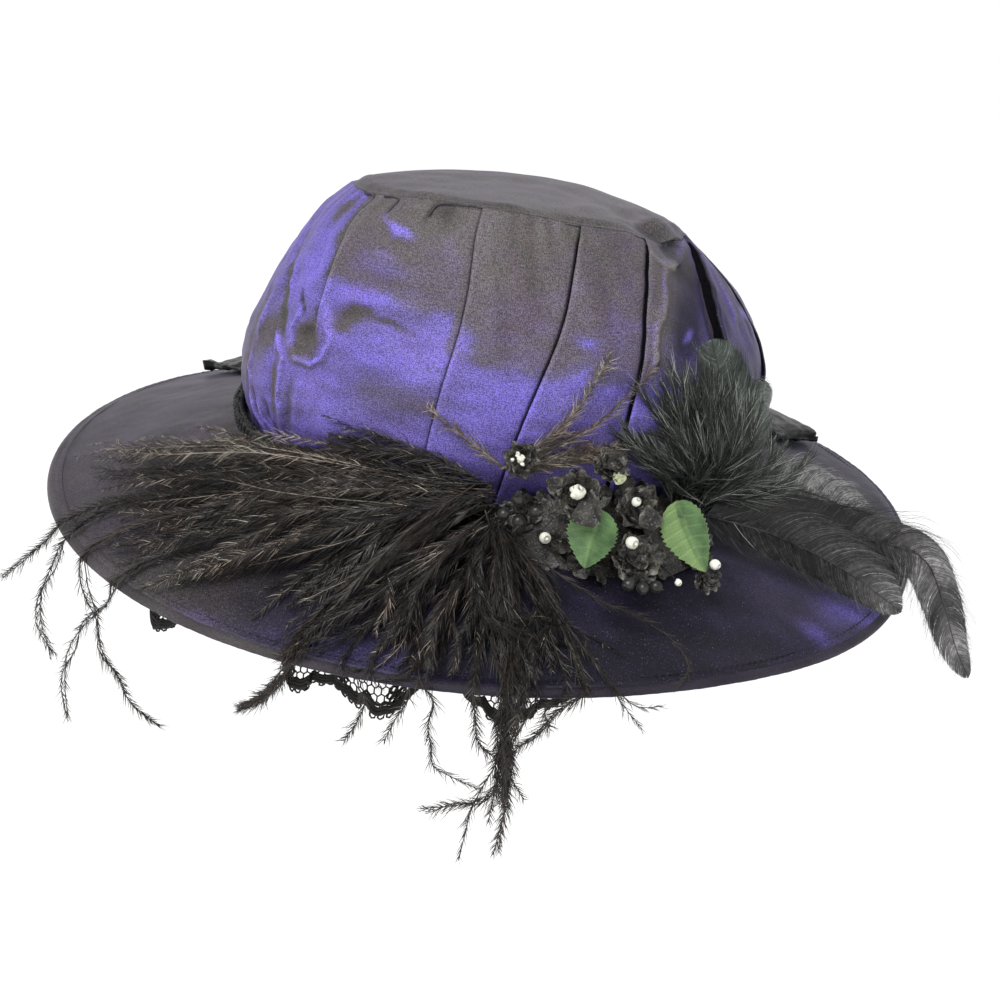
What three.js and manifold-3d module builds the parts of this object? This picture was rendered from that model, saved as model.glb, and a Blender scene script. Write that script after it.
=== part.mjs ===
// A wide-brimmed Victorian dress hat of shot taffeta, trimmed with feathers, flowers, braid, lace and a bow.
// Millimetres. The origin is the centre of the head opening, +Z runs up the crown, and the trimmed front
// faces -Y. Angles go round the hat from +X towards +Y, in degrees, so the front is at -90.
import * as THREE from 'three';
import Module from 'manifold-3d';

const wasm = await Module();
wasm.setup();

// Driving sizes
const BASE = { halfX: 97, halfY: 86 };
const RIM = { halfX: 178, halfY: 164 };
const SEAM_HEIGHT = 97.4;
const CLOTH = 1.5;
const BRIM_THICKNESS = 2;
const BRIM_BEND = 1.15;
const TIP_BULGE = 9.6;
const ROLLED_EDGE = { width: 4.5, thickness: 3.4 };
const BRAID = { width: 8.6, height: 9.2 };
const LACE = { inset: 9, thickness: 1, wave: 2.2 };
const BOW = { ribbonWidth: 40, thickness: 1.2 };
const GAP = 0.3;

// Side of the crown: half widths of the outline at each height, and how far it leans to the right
const CROWN = [
  { height: 0, halfX: 97, halfY: 86, shiftX: 0 },
  { height: 22, halfX: 105, halfY: 93, shiftX: 1 },
  { height: 40, halfX: 104, halfY: 92, shiftX: 3 },
  { height: 60, halfX: 97, halfY: 85.5, shiftX: 4 },
  { height: 76, halfX: 87, halfY: 76.5, shiftX: 2.5 },
  { height: 88, halfX: 76, halfY: 67.5, shiftX: 0.5 },
  { height: 97.4, halfX: 65.6, halfY: 59.4, shiftX: 0 },
];

// Tucks: where each folded edge runs at the base, the middle and the top of the side, and how proud it stands
const TUCKS = [
  { low: -150, middle: -166, top: -188, step: 1.0 },
  { low: -140, middle: -156, top: -176, step: 1.0 },
  { low: -124, middle: -137, top: -147, step: 1.4 },
  { low: -102, middle: -102, top: -101, step: 1.2 },
  { low: -88, middle: -81, top: -69, step: 1.2 },
  { low: -65, middle: -60, top: -42, step: 1.2 },
  { low: -44, middle: -34, top: -15, step: 2.2 },
  { low: -14, middle: -8, top: 12, step: 1.0 },
  { low: 16, middle: 20, top: 38, step: 1.0 },
  { low: 48, middle: 50, top: 60, step: 1.0 },
  { low: 80, middle: 80, top: 84, step: 1.0 },
  { low: 112, middle: 110, top: 110, step: 1.0 },
  { low: 144, middle: 140, top: 136, step: 1.0 },
  { low: 178, middle: 166, top: 154, step: 1.0 },
];

// How far the seam at the top of the side stands above or below its mean height round the hat
const SEAM_RISE = [
  { angle: -180, rise: 1.5 },
  { angle: -150, rise: 4 },
  { angle: -120, rise: 9 },
  { angle: -90, rise: 10 },
  { angle: -68, rise: 7.5 },
  { angle: -50, rise: 5 },
  { angle: -36, rise: 0.5 },
  { angle: -15, rise: -0.5 },
  { angle: 20, rise: -3 },
  { angle: 60, rise: -7.5 },
  { angle: 90, rise: -9 },
  { angle: 130, rise: -6 },
  { angle: 160, rise: -1.5 },
  { angle: 180, rise: 1.5 },
];

// Main dents in the side of the crown
const DENTS = [
  { angle: -139, height: 52, spanAngle: 8, spanHeight: 16, depth: 2.4 },
  { angle: -27, height: 76, spanAngle: 9, spanHeight: 22, depth: 3.4 },
  { angle: 125, height: 46, spanAngle: 14, spanHeight: 18, depth: 1.6 },
];

// Height of the brim's edge round the hat
const RIM_HEIGHTS = [
  { angle: -180, height: -25.7 },
  { angle: -150, height: -30 },
  { angle: -120, height: -31.5 },
  { angle: -90, height: -29 },
  { angle: -60, height: -25.2 },
  { angle: -30, height: -24.6 },
  { angle: -5, height: -17 },
  { angle: 15, height: -12.5 },
  { angle: 35, height: -12 },
  { angle: 60, height: -17 },
  { angle: 90, height: -23 },
  { angle: 120, height: -24.5 },
  { angle: 150, height: -23 },
  { angle: 180, height: -25.7 },
];

// How the lace hangs round the hat: how far it drops and how far its edge is tucked inwards
const LACE_HANG = [
  { angle: -180, drop: 12, tuck: 9 },
  { angle: -150, drop: 12, tuck: 8 },
  { angle: -142, drop: 14, tuck: 3 },
  { angle: -132, drop: 11, tuck: 9 },
  { angle: -120, drop: 11, tuck: 8 },
  { angle: -112, drop: 14, tuck: 2 },
  { angle: -98, drop: 16, tuck: 1 },
  { angle: -92, drop: 11, tuck: 8 },
  { angle: -85, drop: 18, tuck: 1 },
  { angle: -76, drop: 10, tuck: 6 },
  { angle: -60, drop: 9, tuck: 6 },
  { angle: -45, drop: 7, tuck: 9 },
  { angle: 0, drop: 9, tuck: 9 },
  { angle: 60, drop: 13, tuck: 4 },
  { angle: 120, drop: 13, tuck: 4 },
  { angle: 180, drop: 12, tuck: 9 },
];

const COLOURS = {
  taffeta: { color: 0x3d3266, roughness: 0.42, metalness: 0.1 },
  edge: { color: 0x1d1a24, roughness: 0.6, metalness: 0 },
  braid: { color: 0x111411, roughness: 0.85, metalness: 0 },
  lace: { color: 0x14120f, roughness: 0.9, metalness: 0 },
  ostrich: { color: 0x1c1612, roughness: 0.6, metalness: 0 },
  coque: { color: 0x20241f, roughness: 0.4, metalness: 0 },
  organza: { color: 0x1b1a19, roughness: 0.8, metalness: 0 },
  stamen: { color: 0xf0ead2, roughness: 0.45, metalness: 0 },
  leaf: { color: 0x55793f, roughness: 0.7, metalness: 0 },
  berry: { color: 0x22211f, roughness: 0.55, metalness: 0 },
  satin: { color: 0x121412, roughness: 0.25, metalness: 0 },
};

const group = new THREE.Group();

// General helpers
const radians = THREE.MathUtils.degToRad;
const vec = (x, y, z) => new THREE.Vector3(x, y, z);
const mix = THREE.MathUtils.lerp;
const ease = THREE.MathUtils.smoothstep;

// A column of a table at a given key, along straight lines between the rows
function columnAt(table, key, at, column) {
  const next = table.findIndex((row) => row[key] >= at);
  if (next === 0) return table[0][column];
  if (next < 0) return table.at(-1)[column];
  const [a, b] = [table[next - 1], table[next]];
  return mix(a[column], b[column], (at - a[key]) / (b[key] - a[key]));
}

// The same along a smooth curve, for tables that go once round the hat
function roundAt(table, angle, column) {
  const turned = THREE.MathUtils.euclideanModulo(angle + 180, 360) - 180;
  const next = Math.max(1, table.findIndex((row) => row.angle >= turned));
  const [a, b] = [table[next - 1], table[next]];
  const part = (turned - a.angle) / (b.angle - a.angle);
  return mix(a[column], b[column], ease(part, 0, 1));
}

// A closed solid from points and faces, turned so that the faces point out
function solidFrom(points, triangles) {
  let volume = 0;
  for (const [a, b, c] of triangles) {
    volume += points[a].dot(points[b].clone().cross(points[c])) / 6;
  }
  const faces = volume < 0 ? triangles.map(([a, b, c]) => [a, c, b]) : triangles;
  return new wasm.Manifold(new wasm.Mesh({
    numProp: 3,
    vertProperties: new Float32Array(points.flatMap((p) => [p.x, p.y, p.z])),
    triVerts: new Uint32Array(faces.flat()),
  }));
}

const quad = (a, b, c, d) => [[a, b, c], [a, c, d]];

// A ring made of closed sections, the last joined to the first
function ringSolid(sections) {
  const size = sections[0].length;
  const triangles = [];
  sections.forEach((_, i) => {
    const here = i * size;
    const there = ((i + 1) % sections.length) * size;
    for (let j = 0; j < size; j += 1) {
      const k = (j + 1) % size;
      triangles.push(...quad(here + j, there + j, there + k, here + k));
    }
  });
  return solidFrom(sections.flat(), triangles);
}

// A strip of closed sections between a start point and an end point
function spindleSolid(start, sections, end) {
  const size = sections[0].length;
  const points = [start, ...sections.flat(), end];
  const last = points.length - 1;
  const triangles = [];
  for (let j = 0; j < size; j += 1) {
    const k = (j + 1) % size;
    triangles.push([0, 1 + k, 1 + j]);
    for (let i = 0; i + 1 < sections.length; i += 1) {
      const here = 1 + i * size;
      const there = here + size;
      triangles.push(...quad(here + j, here + k, there + k, there + j));
    }
    triangles.push([last, last - size + j, last - size + k]);
  }
  return solidFrom(points, triangles);
}

// A tapered blade along a path, lens-shaped across, its flat side facing away from the hat or as given
function blade(points, width, thickness, steps, grow = 0, facing = null) {
  const path = new THREE.CatmullRomCurve3(points, false, 'centripetal').getPoints(steps);
  const sections = [];
  for (let i = 1; i < steps; i += 1) {
    const along = path[i + 1].clone().sub(path[i - 1]).normalize();
    const outward = facing ?? vec(path[i].x / RIM.halfX, path[i].y / RIM.halfY, 0.7);
    const across = along.clone().cross(outward).normalize();
    const up = across.clone().cross(along).normalize();
    const fill = Math.sqrt(Math.sin(Math.PI * (i / steps) ** 0.8));
    const side = across.multiplyScalar((width / 2) * fill + grow);
    const lift = up.multiplyScalar((thickness / 2) * fill + grow);
    const at = path[i];
    sections.push([
      at.clone().add(side),
      at.clone().add(lift),
      at.clone().sub(side),
      at.clone().sub(lift),
    ]);
  }
  return spindleSolid(path[0], sections, path[steps]);
}

// An egg-shaped lump turned to face along a direction
function lump(centre, sizes, facing = vec(0, 0, 1), sides = 8, rings = 5) {
  const turn = new THREE.Quaternion().setFromUnitVectors(vec(0, 0, 1), facing.clone().normalize());
  const place = (x, y, z) => vec(x * sizes.x, y * sizes.y, z * sizes.z).applyQuaternion(turn).add(centre);
  const sections = [];
  for (let i = 1; i < rings; i += 1) {
    const polar = (Math.PI * i) / rings;
    const ring = [];
    for (let j = 0; j < sides; j += 1) {
      const round = (2 * Math.PI * j) / sides;
      ring.push(place(Math.sin(polar) * Math.cos(round), Math.sin(polar) * Math.sin(round), Math.cos(polar)));
    }
    sections.push(ring);
  }
  return spindleSolid(place(0, 0, 1), sections, place(0, 0, -1));
}

const ball = (centre, radius, facing) => lump(centre, vec(radius, radius, radius), facing, 8, 4);

const middleOf = (points) => points.reduce((sum, p) => sum.add(p), vec(0, 0, 0)).divideScalar(points.length);

const fuse = (solids) => solids.reduce((all, one) => all.add(one));

// Adds a piece to the hat
function addPiece(name, solid, colour) {
  const { vertProperties, triVerts } = solid.getMesh();
  const geometry = new THREE.BufferGeometry();
  geometry.setAttribute('position', new THREE.BufferAttribute(new Float32Array(vertProperties), 3));
  geometry.setIndex(new THREE.BufferAttribute(new Uint32Array(triVerts), 1));
  geometry.computeVertexNormals();
  const mesh = new THREE.Mesh(geometry, new THREE.MeshStandardMaterial(colour));
  mesh.name = name;
  group.add(mesh);
}

// Where a tuck runs at a height
function tuckAngle(tuck, height) {
  const half = SEAM_HEIGHT * 0.6;
  return height < half
    ? mix(tuck.low, tuck.middle, height / half)
    : mix(tuck.middle, tuck.top, (height - half) / (SEAM_HEIGHT - half));
}

// A point on the smooth side of the crown, some way out from the cloth
function crownPoint(angle, height, out = 0) {
  const halfX = columnAt(CROWN, 'height', height, 'halfX') + out;
  const halfY = columnAt(CROWN, 'height', height, 'halfY') + out;
  const shiftX = columnAt(CROWN, 'height', height, 'shiftX');
  const lift = roundAt(SEAM_RISE, angle, 'rise') * ease(height, SEAM_HEIGHT * 0.66, SEAM_HEIGHT);
  return vec(halfX * Math.cos(radians(angle)) + shiftX, halfY * Math.sin(radians(angle)), height + lift);
}

// How deep the dents press the cloth in
function dentDepth(angle, height) {
  let depth = 0;
  for (const dent of DENTS) {
    const turned = THREE.MathUtils.euclideanModulo(angle - dent.angle + 180, 360) - 180;
    const away = Math.hypot(turned / dent.spanAngle, (height - dent.height) / dent.spanHeight);
    depth += dent.depth * (1 - ease(away, 0, 1));
  }
  return depth;
}

// Columns round the crown: four to a tuck, the first two on either side of its folded edge
function crownColumns() {
  const columns = [];
  const edge = 0.7;
  TUCKS.forEach((tuck, i) => {
    const next = TUCKS[(i + 1) % TUCKS.length];
    const turn = i + 1 === TUCKS.length ? 360 : 0;
    const place = (part, shift, proud) => (height) => ({
      angle: mix(tuckAngle(tuck, height), tuckAngle(next, height) + turn, part) + shift,
      proud,
    });
    columns.push(place(0, -edge, 0));
    columns.push(place(0, edge, tuck.step));
    columns.push(place(0.3, 0, tuck.step * 0.35));
    columns.push(place(0.65, 0, 0.2));
  });
  return columns;
}

// Section of the crown's wall in one column: up the outside, down the inside
function crownSection(column, wall, grow, floor) {
  const outside = CROWN.map(({ height }) => {
    const { angle, proud } = column(height);
    const out = proud - dentDepth(angle, height) + grow;
    const point = crownPoint(angle, height, out);
    if (height === 0) point.z = floor;
    return point;
  });
  if (!wall) return outside;
  const inside = CROWN.map(({ height }) => {
    const { angle } = column(height);
    const slope = 1 + 0.5 * (height / SEAM_HEIGHT) ** 2;
    const point = crownPoint(angle, height, -wall * slope - dentDepth(angle, height));
    if (height === 0) point.z = floor;
    return point;
  });
  return [...outside, ...inside.reverse()];
}

const crownSide = () => ringSolid(crownColumns().map((column) => crownSection(column, CLOTH, 0, GAP)));

// The crown as a full block, grown a little, to cut the trimmings clear of the cloth
function crownBlock(grow) {
  const rows = crownColumns().map((column) => crownSection(column, 0, grow, -1));
  const rings = CROWN.map((_, j) => rows.map((row) => row[j]));
  return spindleSolid(vec(0, 0, -1), rings, vec(0, 0, SEAM_HEIGHT + TIP_BULGE));
}

// Domed top of the crown, lying on the end of the side's wall
function crownTip() {
  const angles = crownColumns().map((column) => column(SEAM_HEIGHT).angle);
  const rings = [1, 0.6];
  const inset = 0.6;
  const seam = CROWN.at(-1);
  const ring = (part, wall) => angles.map((angle) => {
    const rise = TIP_BULGE * (1 - part ** 2) + roundAt(SEAM_RISE, angle, 'rise') * part ** 2;
    const halfX = (seam.halfX - inset) * part;
    const halfY = (seam.halfY - inset) * part;
    const height = SEAM_HEIGHT + GAP + rise + wall;
    return vec(halfX * Math.cos(radians(angle)), halfY * Math.sin(radians(angle)), height);
  });
  const upper = rings.map((part) => ring(part, CLOTH)).reverse();
  const lower = rings.map((part) => ring(part, 0));
  const middle = SEAM_HEIGHT + GAP + TIP_BULGE;
  return spindleSolid(vec(0, 0, middle + CLOTH), [...upper, ...lower], vec(0, 0, middle));
}

// A point over the brim: how far across it goes from the crown (0) to the edge (1), and how high above it
function brimPoint(angle, across, above = 0) {
  const halfX = mix(BASE.halfX, RIM.halfX, across);
  const halfY = mix(BASE.halfY, RIM.halfY, across);
  const height = roundAt(RIM_HEIGHTS, angle, 'height') * Math.max(0, across) ** BRIM_BEND;
  return vec(halfX * Math.cos(radians(angle)), halfY * Math.sin(radians(angle)), height + above);
}

const acrossOf = (millimetres) => millimetres / (RIM.halfX - BASE.halfX);

const BRIM_SIDES = 52;
const rimAngles = Array.from({ length: BRIM_SIDES }, (_, i) => (360 * i) / BRIM_SIDES - 180);

// The brim: a plate from under the crown's wall to just inside the rolled edge
function brim() {
  const inner = -acrossOf(CLOTH + 0.3);
  const outer = 1 - acrossOf(ROLLED_EDGE.width);
  const stations = [inner, 0.001, 0.45, outer];
  return ringSolid(rimAngles.map((angle) => [
    ...stations.map((across) => brimPoint(angle, across)),
    ...stations.map((across) => brimPoint(angle, across, -BRIM_THICKNESS)).reverse(),
  ]));
}

// A full block under the brim's upper face and round its edge, to cut the trimmings clear of them
function brimBlock(grow) {
  const depth = 4.5;
  const past = 1 + acrossOf(grow + 0.3);
  const edge = 1 - acrossOf(ROLLED_EDGE.width);
  const upper = [[-0.3, 0], [0.001, 0], [0.45, 0], [edge, 0], [edge + 0.02, 0.9], [past, 0.5]];
  return ringSolid(rimAngles.map((angle) => [
    ...upper.map(([across, above]) => brimPoint(angle, across, above + grow)),
    ...[past, 0.5, -0.3].map((across) => brimPoint(angle, across, -depth)),
  ]));
}

// The rolled edge, a soft six-sided roll that continues the plate
function rolledEdge() {
  const inner = 1 - acrossOf(ROLLED_EDGE.width - GAP);
  const middle = mix(inner, 1, 0.6);
  const rise = (ROLLED_EDGE.thickness - BRIM_THICKNESS) / 2;
  return ringSolid(rimAngles.map((angle) => [
    brimPoint(angle, inner, 0),
    brimPoint(angle, middle, rise),
    brimPoint(angle, 1, -0.3),
    brimPoint(angle, 1, -BRIM_THICKNESS + 0.1),
    brimPoint(angle, middle, -BRIM_THICKNESS - rise),
    brimPoint(angle, inner, -BRIM_THICKNESS),
  ]));
}

// The braid in the corner between the crown and the brim
function braid(grow = 0) {
  const sides = 52;
  const clear = Math.max(...TUCKS.map((tuck) => tuck.step)) + GAP;
  const sections = [];
  for (let i = 0; i < sides; i += 1) {
    const angle = (360 * i) / sides - 180;
    const at = (out, above) => brimPoint(angle, acrossOf(out), above);
    sections.push([
      at(clear, GAP + 0.2),
      at(BRAID.width - 1, GAP + 0.2 - grow),
      at(BRAID.width + grow, BRAID.height * 0.4),
      crownPoint(angle, BRAID.height + grow, clear + 2.6 + grow),
      crownPoint(angle, BRAID.height + grow, clear),
    ]);
  }
  return ringSolid(sections);
}

// Everything that the trimmings must stay clear of
const hatBlock = fuse([crownBlock(GAP), brimBlock(GAP), braid(GAP)]);

// The lace: a gathered strip of cells with every other cell of two rows left open
function laceRuffle() {
  const columns = 56;
  const rows = [0, 0.14, 0.42, 0.58, 0.84, 1];
  const waves = 14;
  const point = (i, j, face) => {
    const angle = (360 * i) / columns - 180;
    const part = rows[j];
    const lobe = j === rows.length - 1 ? 2.2 * Math.abs(Math.sin((Math.PI * i) / 4)) : 0;
    const drop = roundAt(LACE_HANG, angle, 'drop') * part + lobe;
    const wave = LACE.wave * part * Math.cos((2 * Math.PI * waves * i) / columns);
    const tuck = roundAt(LACE_HANG, angle, 'tuck') * part;
    const inset = LACE.inset + tuck - wave + face * LACE.thickness;
    return brimPoint(angle, 1 - acrossOf(inset), -BRIM_THICKNESS - 0.8 - drop);
  };
  const open = (i, j) => (j === 1 && i % 2 === 0) || (j === 3 && i % 2 === 1);
  const points = [];
  const index = (i, j, face) => ((i % columns) * rows.length + j) * 2 + face;
  for (let i = 0; i < columns; i += 1) {
    for (let j = 0; j < rows.length; j += 1) points.push(point(i, j, 0), point(i, j, 1));
  }
  const cell = (i, j) => j >= 0 && j < rows.length - 1 && !open(i, j);
  const triangles = [];
  for (let i = 0; i < columns; i += 1) {
    const before = (i + columns - 1) % columns;
    for (let j = 0; j < rows.length - 1; j += 1) {
      if (!cell(i, j)) continue;
      const [a, b, c, d] = [[i, j], [i + 1, j], [i + 1, j + 1], [i, j + 1]].map(([m, n]) => ({
        front: index(m, n, 0),
        back: index(m, n, 1),
      }));
      triangles.push(...quad(a.front, b.front, c.front, d.front));
      triangles.push(...quad(a.back, d.back, c.back, b.back));
      if (!cell(i, j - 1)) triangles.push(...quad(a.front, a.back, b.back, b.front));
      if (!cell(i, j + 1)) triangles.push(...quad(d.front, c.front, c.back, d.back));
      if (!cell(before, j)) triangles.push(...quad(a.front, d.front, d.back, a.back));
      if (!cell((i + 1) % columns, j)) triangles.push(...quad(b.front, b.back, c.back, c.front));
    }
  }
  return solidFrom(points, triangles);
}

// Flower backing: a low bank between the crown and the brim that tapers at both ends
const BACKING = [
  { angle: -89, reach: 15, height: 9 },
  { angle: -82, reach: 24, height: 16 },
  { angle: -70, reach: 33, height: 20 },
  { angle: -58, reach: 36, height: 18 },
  { angle: -47, reach: 30, height: 13 },
  { angle: -41, reach: 18, height: 7 },
];

function flowerBacking(grow = 0) {
  const inner = BRAID.width + 3 * GAP;
  const sections = BACKING.map(({ angle, reach, height }) => {
    const at = (out, above) => brimPoint(angle, acrossOf(out), above);
    return [
      at(inner, 2 * GAP),
      at(reach + grow, 2 * GAP),
      at(reach + grow, 1.6 + grow),
      at(reach * 0.66 + grow, height * 0.62 + grow),
      at(inner + 2, height + 3 + grow),
      at(inner, height + 3 + grow),
    ];
  });
  return spindleSolid(middleOf(sections[0]), sections, middleOf(sections.at(-1)));
}

// The place in the backing where a stalk or a thread is sewn down, behind a point of the trimming
function seatBehind(point) {
  const angle = THREE.MathUtils.radToDeg(Math.atan2(point.y / BASE.halfY, point.x / BASE.halfX));
  const within = THREE.MathUtils.clamp(angle, BACKING[1].angle, BACKING.at(-2).angle);
  return brimPoint(within, acrossOf(BRAID.width + 6), 5);
}

// A thin stalk or thread, thickest half way
function stalk(from, to, radius) {
  const along = to.clone().sub(from);
  return lump(from.clone().lerp(to, 0.5), vec(radius, radius, along.length() / 2), along, 5, 3);
}

// Blossoms: centre, the way they face, and the reach of their petals
const BLOSSOMS = [
  { x: 33, y: -108, z: 22, faceX: 0.1, faceY: -1, faceZ: 0.5, reach: 9.5 },
  { x: 56, y: -100, z: 17, faceX: 0.25, faceY: -1, faceZ: 0.55, reach: 9 },
  { x: 57, y: -110, z: 2, faceX: 0.2, faceY: -0.9, faceZ: 0.7, reach: 9.5 },
  { x: 12, y: -101, z: 30, faceX: -0.1, faceY: -1, faceZ: 0.4, reach: 6.5 },
  { x: 44, y: -96, z: 30, faceX: 0.1, faceY: -0.8, faceZ: 0.8, reach: 7 },
  { x: 83, y: -108, z: -3, faceX: 0.4, faceY: -0.8, faceZ: 0.5, reach: 6 },
];

// A shallow five-petalled cup on a wired stalk
function blossom({ x, y, z, faceX, faceY, faceZ, reach }, grow = 0) {
  const sides = 15;
  const turn = new THREE.Quaternion().setFromUnitVectors(vec(0, 0, 1), vec(faceX, faceY, faceZ).normalize());
  const place = (point) => point.applyQuaternion(turn).add(vec(x, y, z));
  const ring = (part, height, lobes) => Array.from({ length: sides }, (_, i) => {
    const round = (2 * Math.PI * i) / sides;
    const notch = 1 - lobes * (1 - Math.abs(Math.sin(2.5 * round)));
    const radius = reach * part * notch + grow;
    return place(vec(radius * Math.cos(round), radius * Math.sin(round), height));
  });
  const cup = 0.3 * reach;
  const petal = 1.2;
  const flower = spindleSolid(
    place(vec(0, 0, 1 + grow)),
    [ring(0.4, 0.8 + grow, 0.1), ring(1, cup + grow, 0.45), ring(1, cup - petal - grow, 0.45)],
    place(vec(0, 0, -0.25 * reach - grow)),
  );
  const centre = vec(x, y, z);
  return flower.add(stalk(centre, seatBehind(centre), 1.5 + grow));
}

// Stamen beads: place, size, and the length of the thread that runs back to the flower or the backing
const STAMENS = [
  { x: 33, y: -112.6, z: 24.4, radius: 2.6, thread: 6 },
  { x: 57, y: -105, z: 19.6, radius: 1.8, thread: 6 },
  { x: 56, y: -115, z: 4.6, radius: 2.2, thread: 6 },
  { x: 12, y: -104.6, z: 31.2, radius: 2, thread: 3.6 },
  { x: 24, y: -112, z: 6.6, radius: 2, thread: 12 },
  { x: 86, y: -110, z: 1.6, radius: 1.7, thread: 4 },
  { x: 72, y: -116, z: -7, radius: 1.3, thread: 24 },
];

// A bead on its thread
function stamen({ x, y, z, radius, thread }) {
  const centre = vec(x, y, z);
  const towardsSeat = seatBehind(centre).sub(centre).setLength(thread);
  return ball(centre, radius).add(stalk(centre, centre.clone().add(towardsSeat), 0.8));
}

// Leaves: stem end, tip, width, and how far the halves fold up along the midrib
const LEAVES = [
  { name: 'leaf_left', stem: vec(41, -111, 14), tip: vec(37.5, -121, -4), width: 19, fold: 1.5 },
  { name: 'leaf_right', stem: vec(69, -104, 20), tip: vec(81, -113, -1), width: 19, fold: 4.5 },
];

function leaf({ stem, tip, width, fold }, grow = 0) {
  const teeth = 6;
  const thickness = 1 + grow;
  const along = tip.clone().sub(stem);
  const facing = vec(0.1, -0.9, 0.45).normalize();
  const across = along.clone().cross(facing).normalize();
  const up = across.clone().cross(along).normalize().negate();
  const rows = [];
  for (let i = 0; i <= 2 * teeth; i += 1) {
    const part = i / (2 * teeth);
    const round = Math.sin(Math.PI * part ** 0.72) ** 0.75;
    const tooth = i % 2 ? 1 : 0.9;
    const half = Math.max(0.5, (width / 2) * round * tooth) + grow;
    const arch = 1.2 * Math.sin(Math.PI * part);
    const spine = stem.clone().addScaledVector(along, part).addScaledVector(up, arch);
    const lifted = (fold * half) / (width / 2);
    rows.push([
      spine.clone().addScaledVector(across, half).addScaledVector(up, lifted),
      spine.clone(),
      spine.clone().addScaledVector(across, -half).addScaledVector(up, lifted),
      spine.clone().addScaledVector(across, -half).addScaledVector(up, lifted - thickness),
      spine.clone().addScaledVector(up, -thickness),
      spine.clone().addScaledVector(across, half).addScaledVector(up, lifted - thickness),
    ]);
  }
  const cloth = spindleSolid(middleOf(rows[0]), rows, middleOf(rows.at(-1)));
  return cloth.add(stalk(stem.clone().addScaledVector(along, 0.25), seatBehind(stem), 1.3 + grow));
}

// Berry bunches: the fruits, the knot of wrapped stalks behind them, and where that is sewn to the backing
const BERRIES = {
  berries_left: {
    hub: vec(14, -107.6, 14),
    seat: vec(18, -98, 5),
    fruits: [vec(13, -110, 18), vec(19.5, -111, 15), vec(14, -111, 10.5), vec(8.6, -109, 11.5)],
    radius: 2.3,
  },
  berries_right: {
    hub: vec(59, -118.6, -2.4),
    seat: vec(66, -101, -6.5),
    fruits: [vec(54.5, -121.5, -3.2), vec(59.4, -122, -3.6), vec(64, -120.5, -3.2)],
    radius: 2.3,
  },
};

function berries({ hub, seat, fruits, radius }, grow = 0) {
  const knot = 3.6 + grow;
  const solids = [
    lump(hub, vec(knot * 1.3, knot, knot * 0.8), vec(0, -0.8, 0.6), 6, 4),
    stalk(hub, seat, 1.6 + grow),
  ];
  for (const fruit of fruits) {
    solids.push(stalk(hub, fruit, 1.2 + grow));
    solids.push(ball(fruit, radius + grow, fruit.clone().sub(hub)));
  }
  return fuse(solids);
}

// Ostrich strands lying over the left of the brim: where each ends round the hat and across the brim, how
// high it arches, how wide it is, and how far its end hangs down when it reaches past the brim's edge
const SPRAY_ROOT = vec(0, -103, 15);
const SPRAY = [
  { angle: -160, across: 0.27, arch: 9, width: 8, hang: 0 },
  { angle: -164, across: 0.6, arch: 13, width: 8, hang: 0 },
  { angle: -167, across: 0.93, arch: 15, width: 7, hang: 0 },
  { angle: -158, across: 0.84, arch: 13, width: 9, hang: 0 },
  { angle: -153, across: 0.68, arch: 12, width: 10, hang: 0 },
  { angle: -151.5, across: 1.24, arch: 10, width: 5, hang: 20 },
  { angle: -145, across: 1.12, arch: 9, width: 5, hang: 34 },
  { angle: -141, across: 0.85, arch: 10, width: 10, hang: 0 },
  { angle: -137, across: 1.08, arch: 7, width: 5, hang: 52 },
  { angle: -130, across: 0.8, arch: 8, width: 10, hang: 0 },
  { angle: -123, across: 1.07, arch: 6, width: 5, hang: 44 },
  { angle: -119, across: 0.86, arch: 6, width: 10, hang: 0 },
];

// Strands falling over the front of the brim
const FALL_ROOT = vec(8, -106, 6);
const FALL = [
  { angle: -110, across: 1.2, arch: 5, width: 6, hang: 10 },
  { angle: -105, across: 0.9, arch: 5, width: 9, hang: 0 },
  { angle: -98, across: 1.14, arch: 5, width: 6, hang: 14 },
  { angle: -91, across: 1.12, arch: 5, width: 6, hang: 38 },
  { angle: -86, across: 1.08, arch: 6, width: 7, hang: 56 },
  { angle: -82, across: 1.08, arch: 6, width: 5, hang: 54 },
  { angle: -75, across: 0.95, arch: 5, width: 6, hang: 0 },
  { angle: -67, across: 1.07, arch: 5, width: 5, hang: 3 },
];

function strandPath(root, { angle, across, arch, hang }) {
  const landing = brimPoint(angle, Math.min(across, 0.98), 3.4);
  const middle = root.clone().lerp(landing, 0.48);
  const widest = CROWN[2];
  const clear = Math.max(1, 1.1 / Math.hypot(middle.x / widest.halfX, middle.y / widest.halfY));
  middle.multiply(vec(clear, clear, 1));
  middle.z += arch;
  const points = [root, middle, landing];
  if (across > 1) {
    const edge = brimPoint(angle, 1.03, 1.2);
    const end = brimPoint(angle, across);
    end.z = edge.z - hang;
    const turn = edge.clone().lerp(end, 0.45);
    turn.z = mix(edge.z, end.z, 0.3);
    points.splice(2, 1, edge, turn, end);
  }
  return points;
}

function strands(root, rows, headSize, grow = 0) {
  const thickness = 3;
  const head = lump(root, headSize.clone().addScalar(grow), vec(-0.3, -0.6, 0.7), 7, 4);
  const locks = rows.map((row) => blade(strandPath(root, row), row.width, thickness, row.hang ? 6 : 4, grow));
  return fuse([head, ...locks]);
}

// Thin strands up the crown: where each ends round and up it
const WISP_ROOT = vec(9, -98.5, 23.5);
const WISPS = [
  { angle: -104, height: 46, width: 2.6 },
  { angle: -92, height: 40, width: 3 },
  { angle: -74, height: 50, width: 5 },
  { angle: -67, height: 61, width: 5 },
  { angle: -61, height: 57, width: 5 },
];

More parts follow.
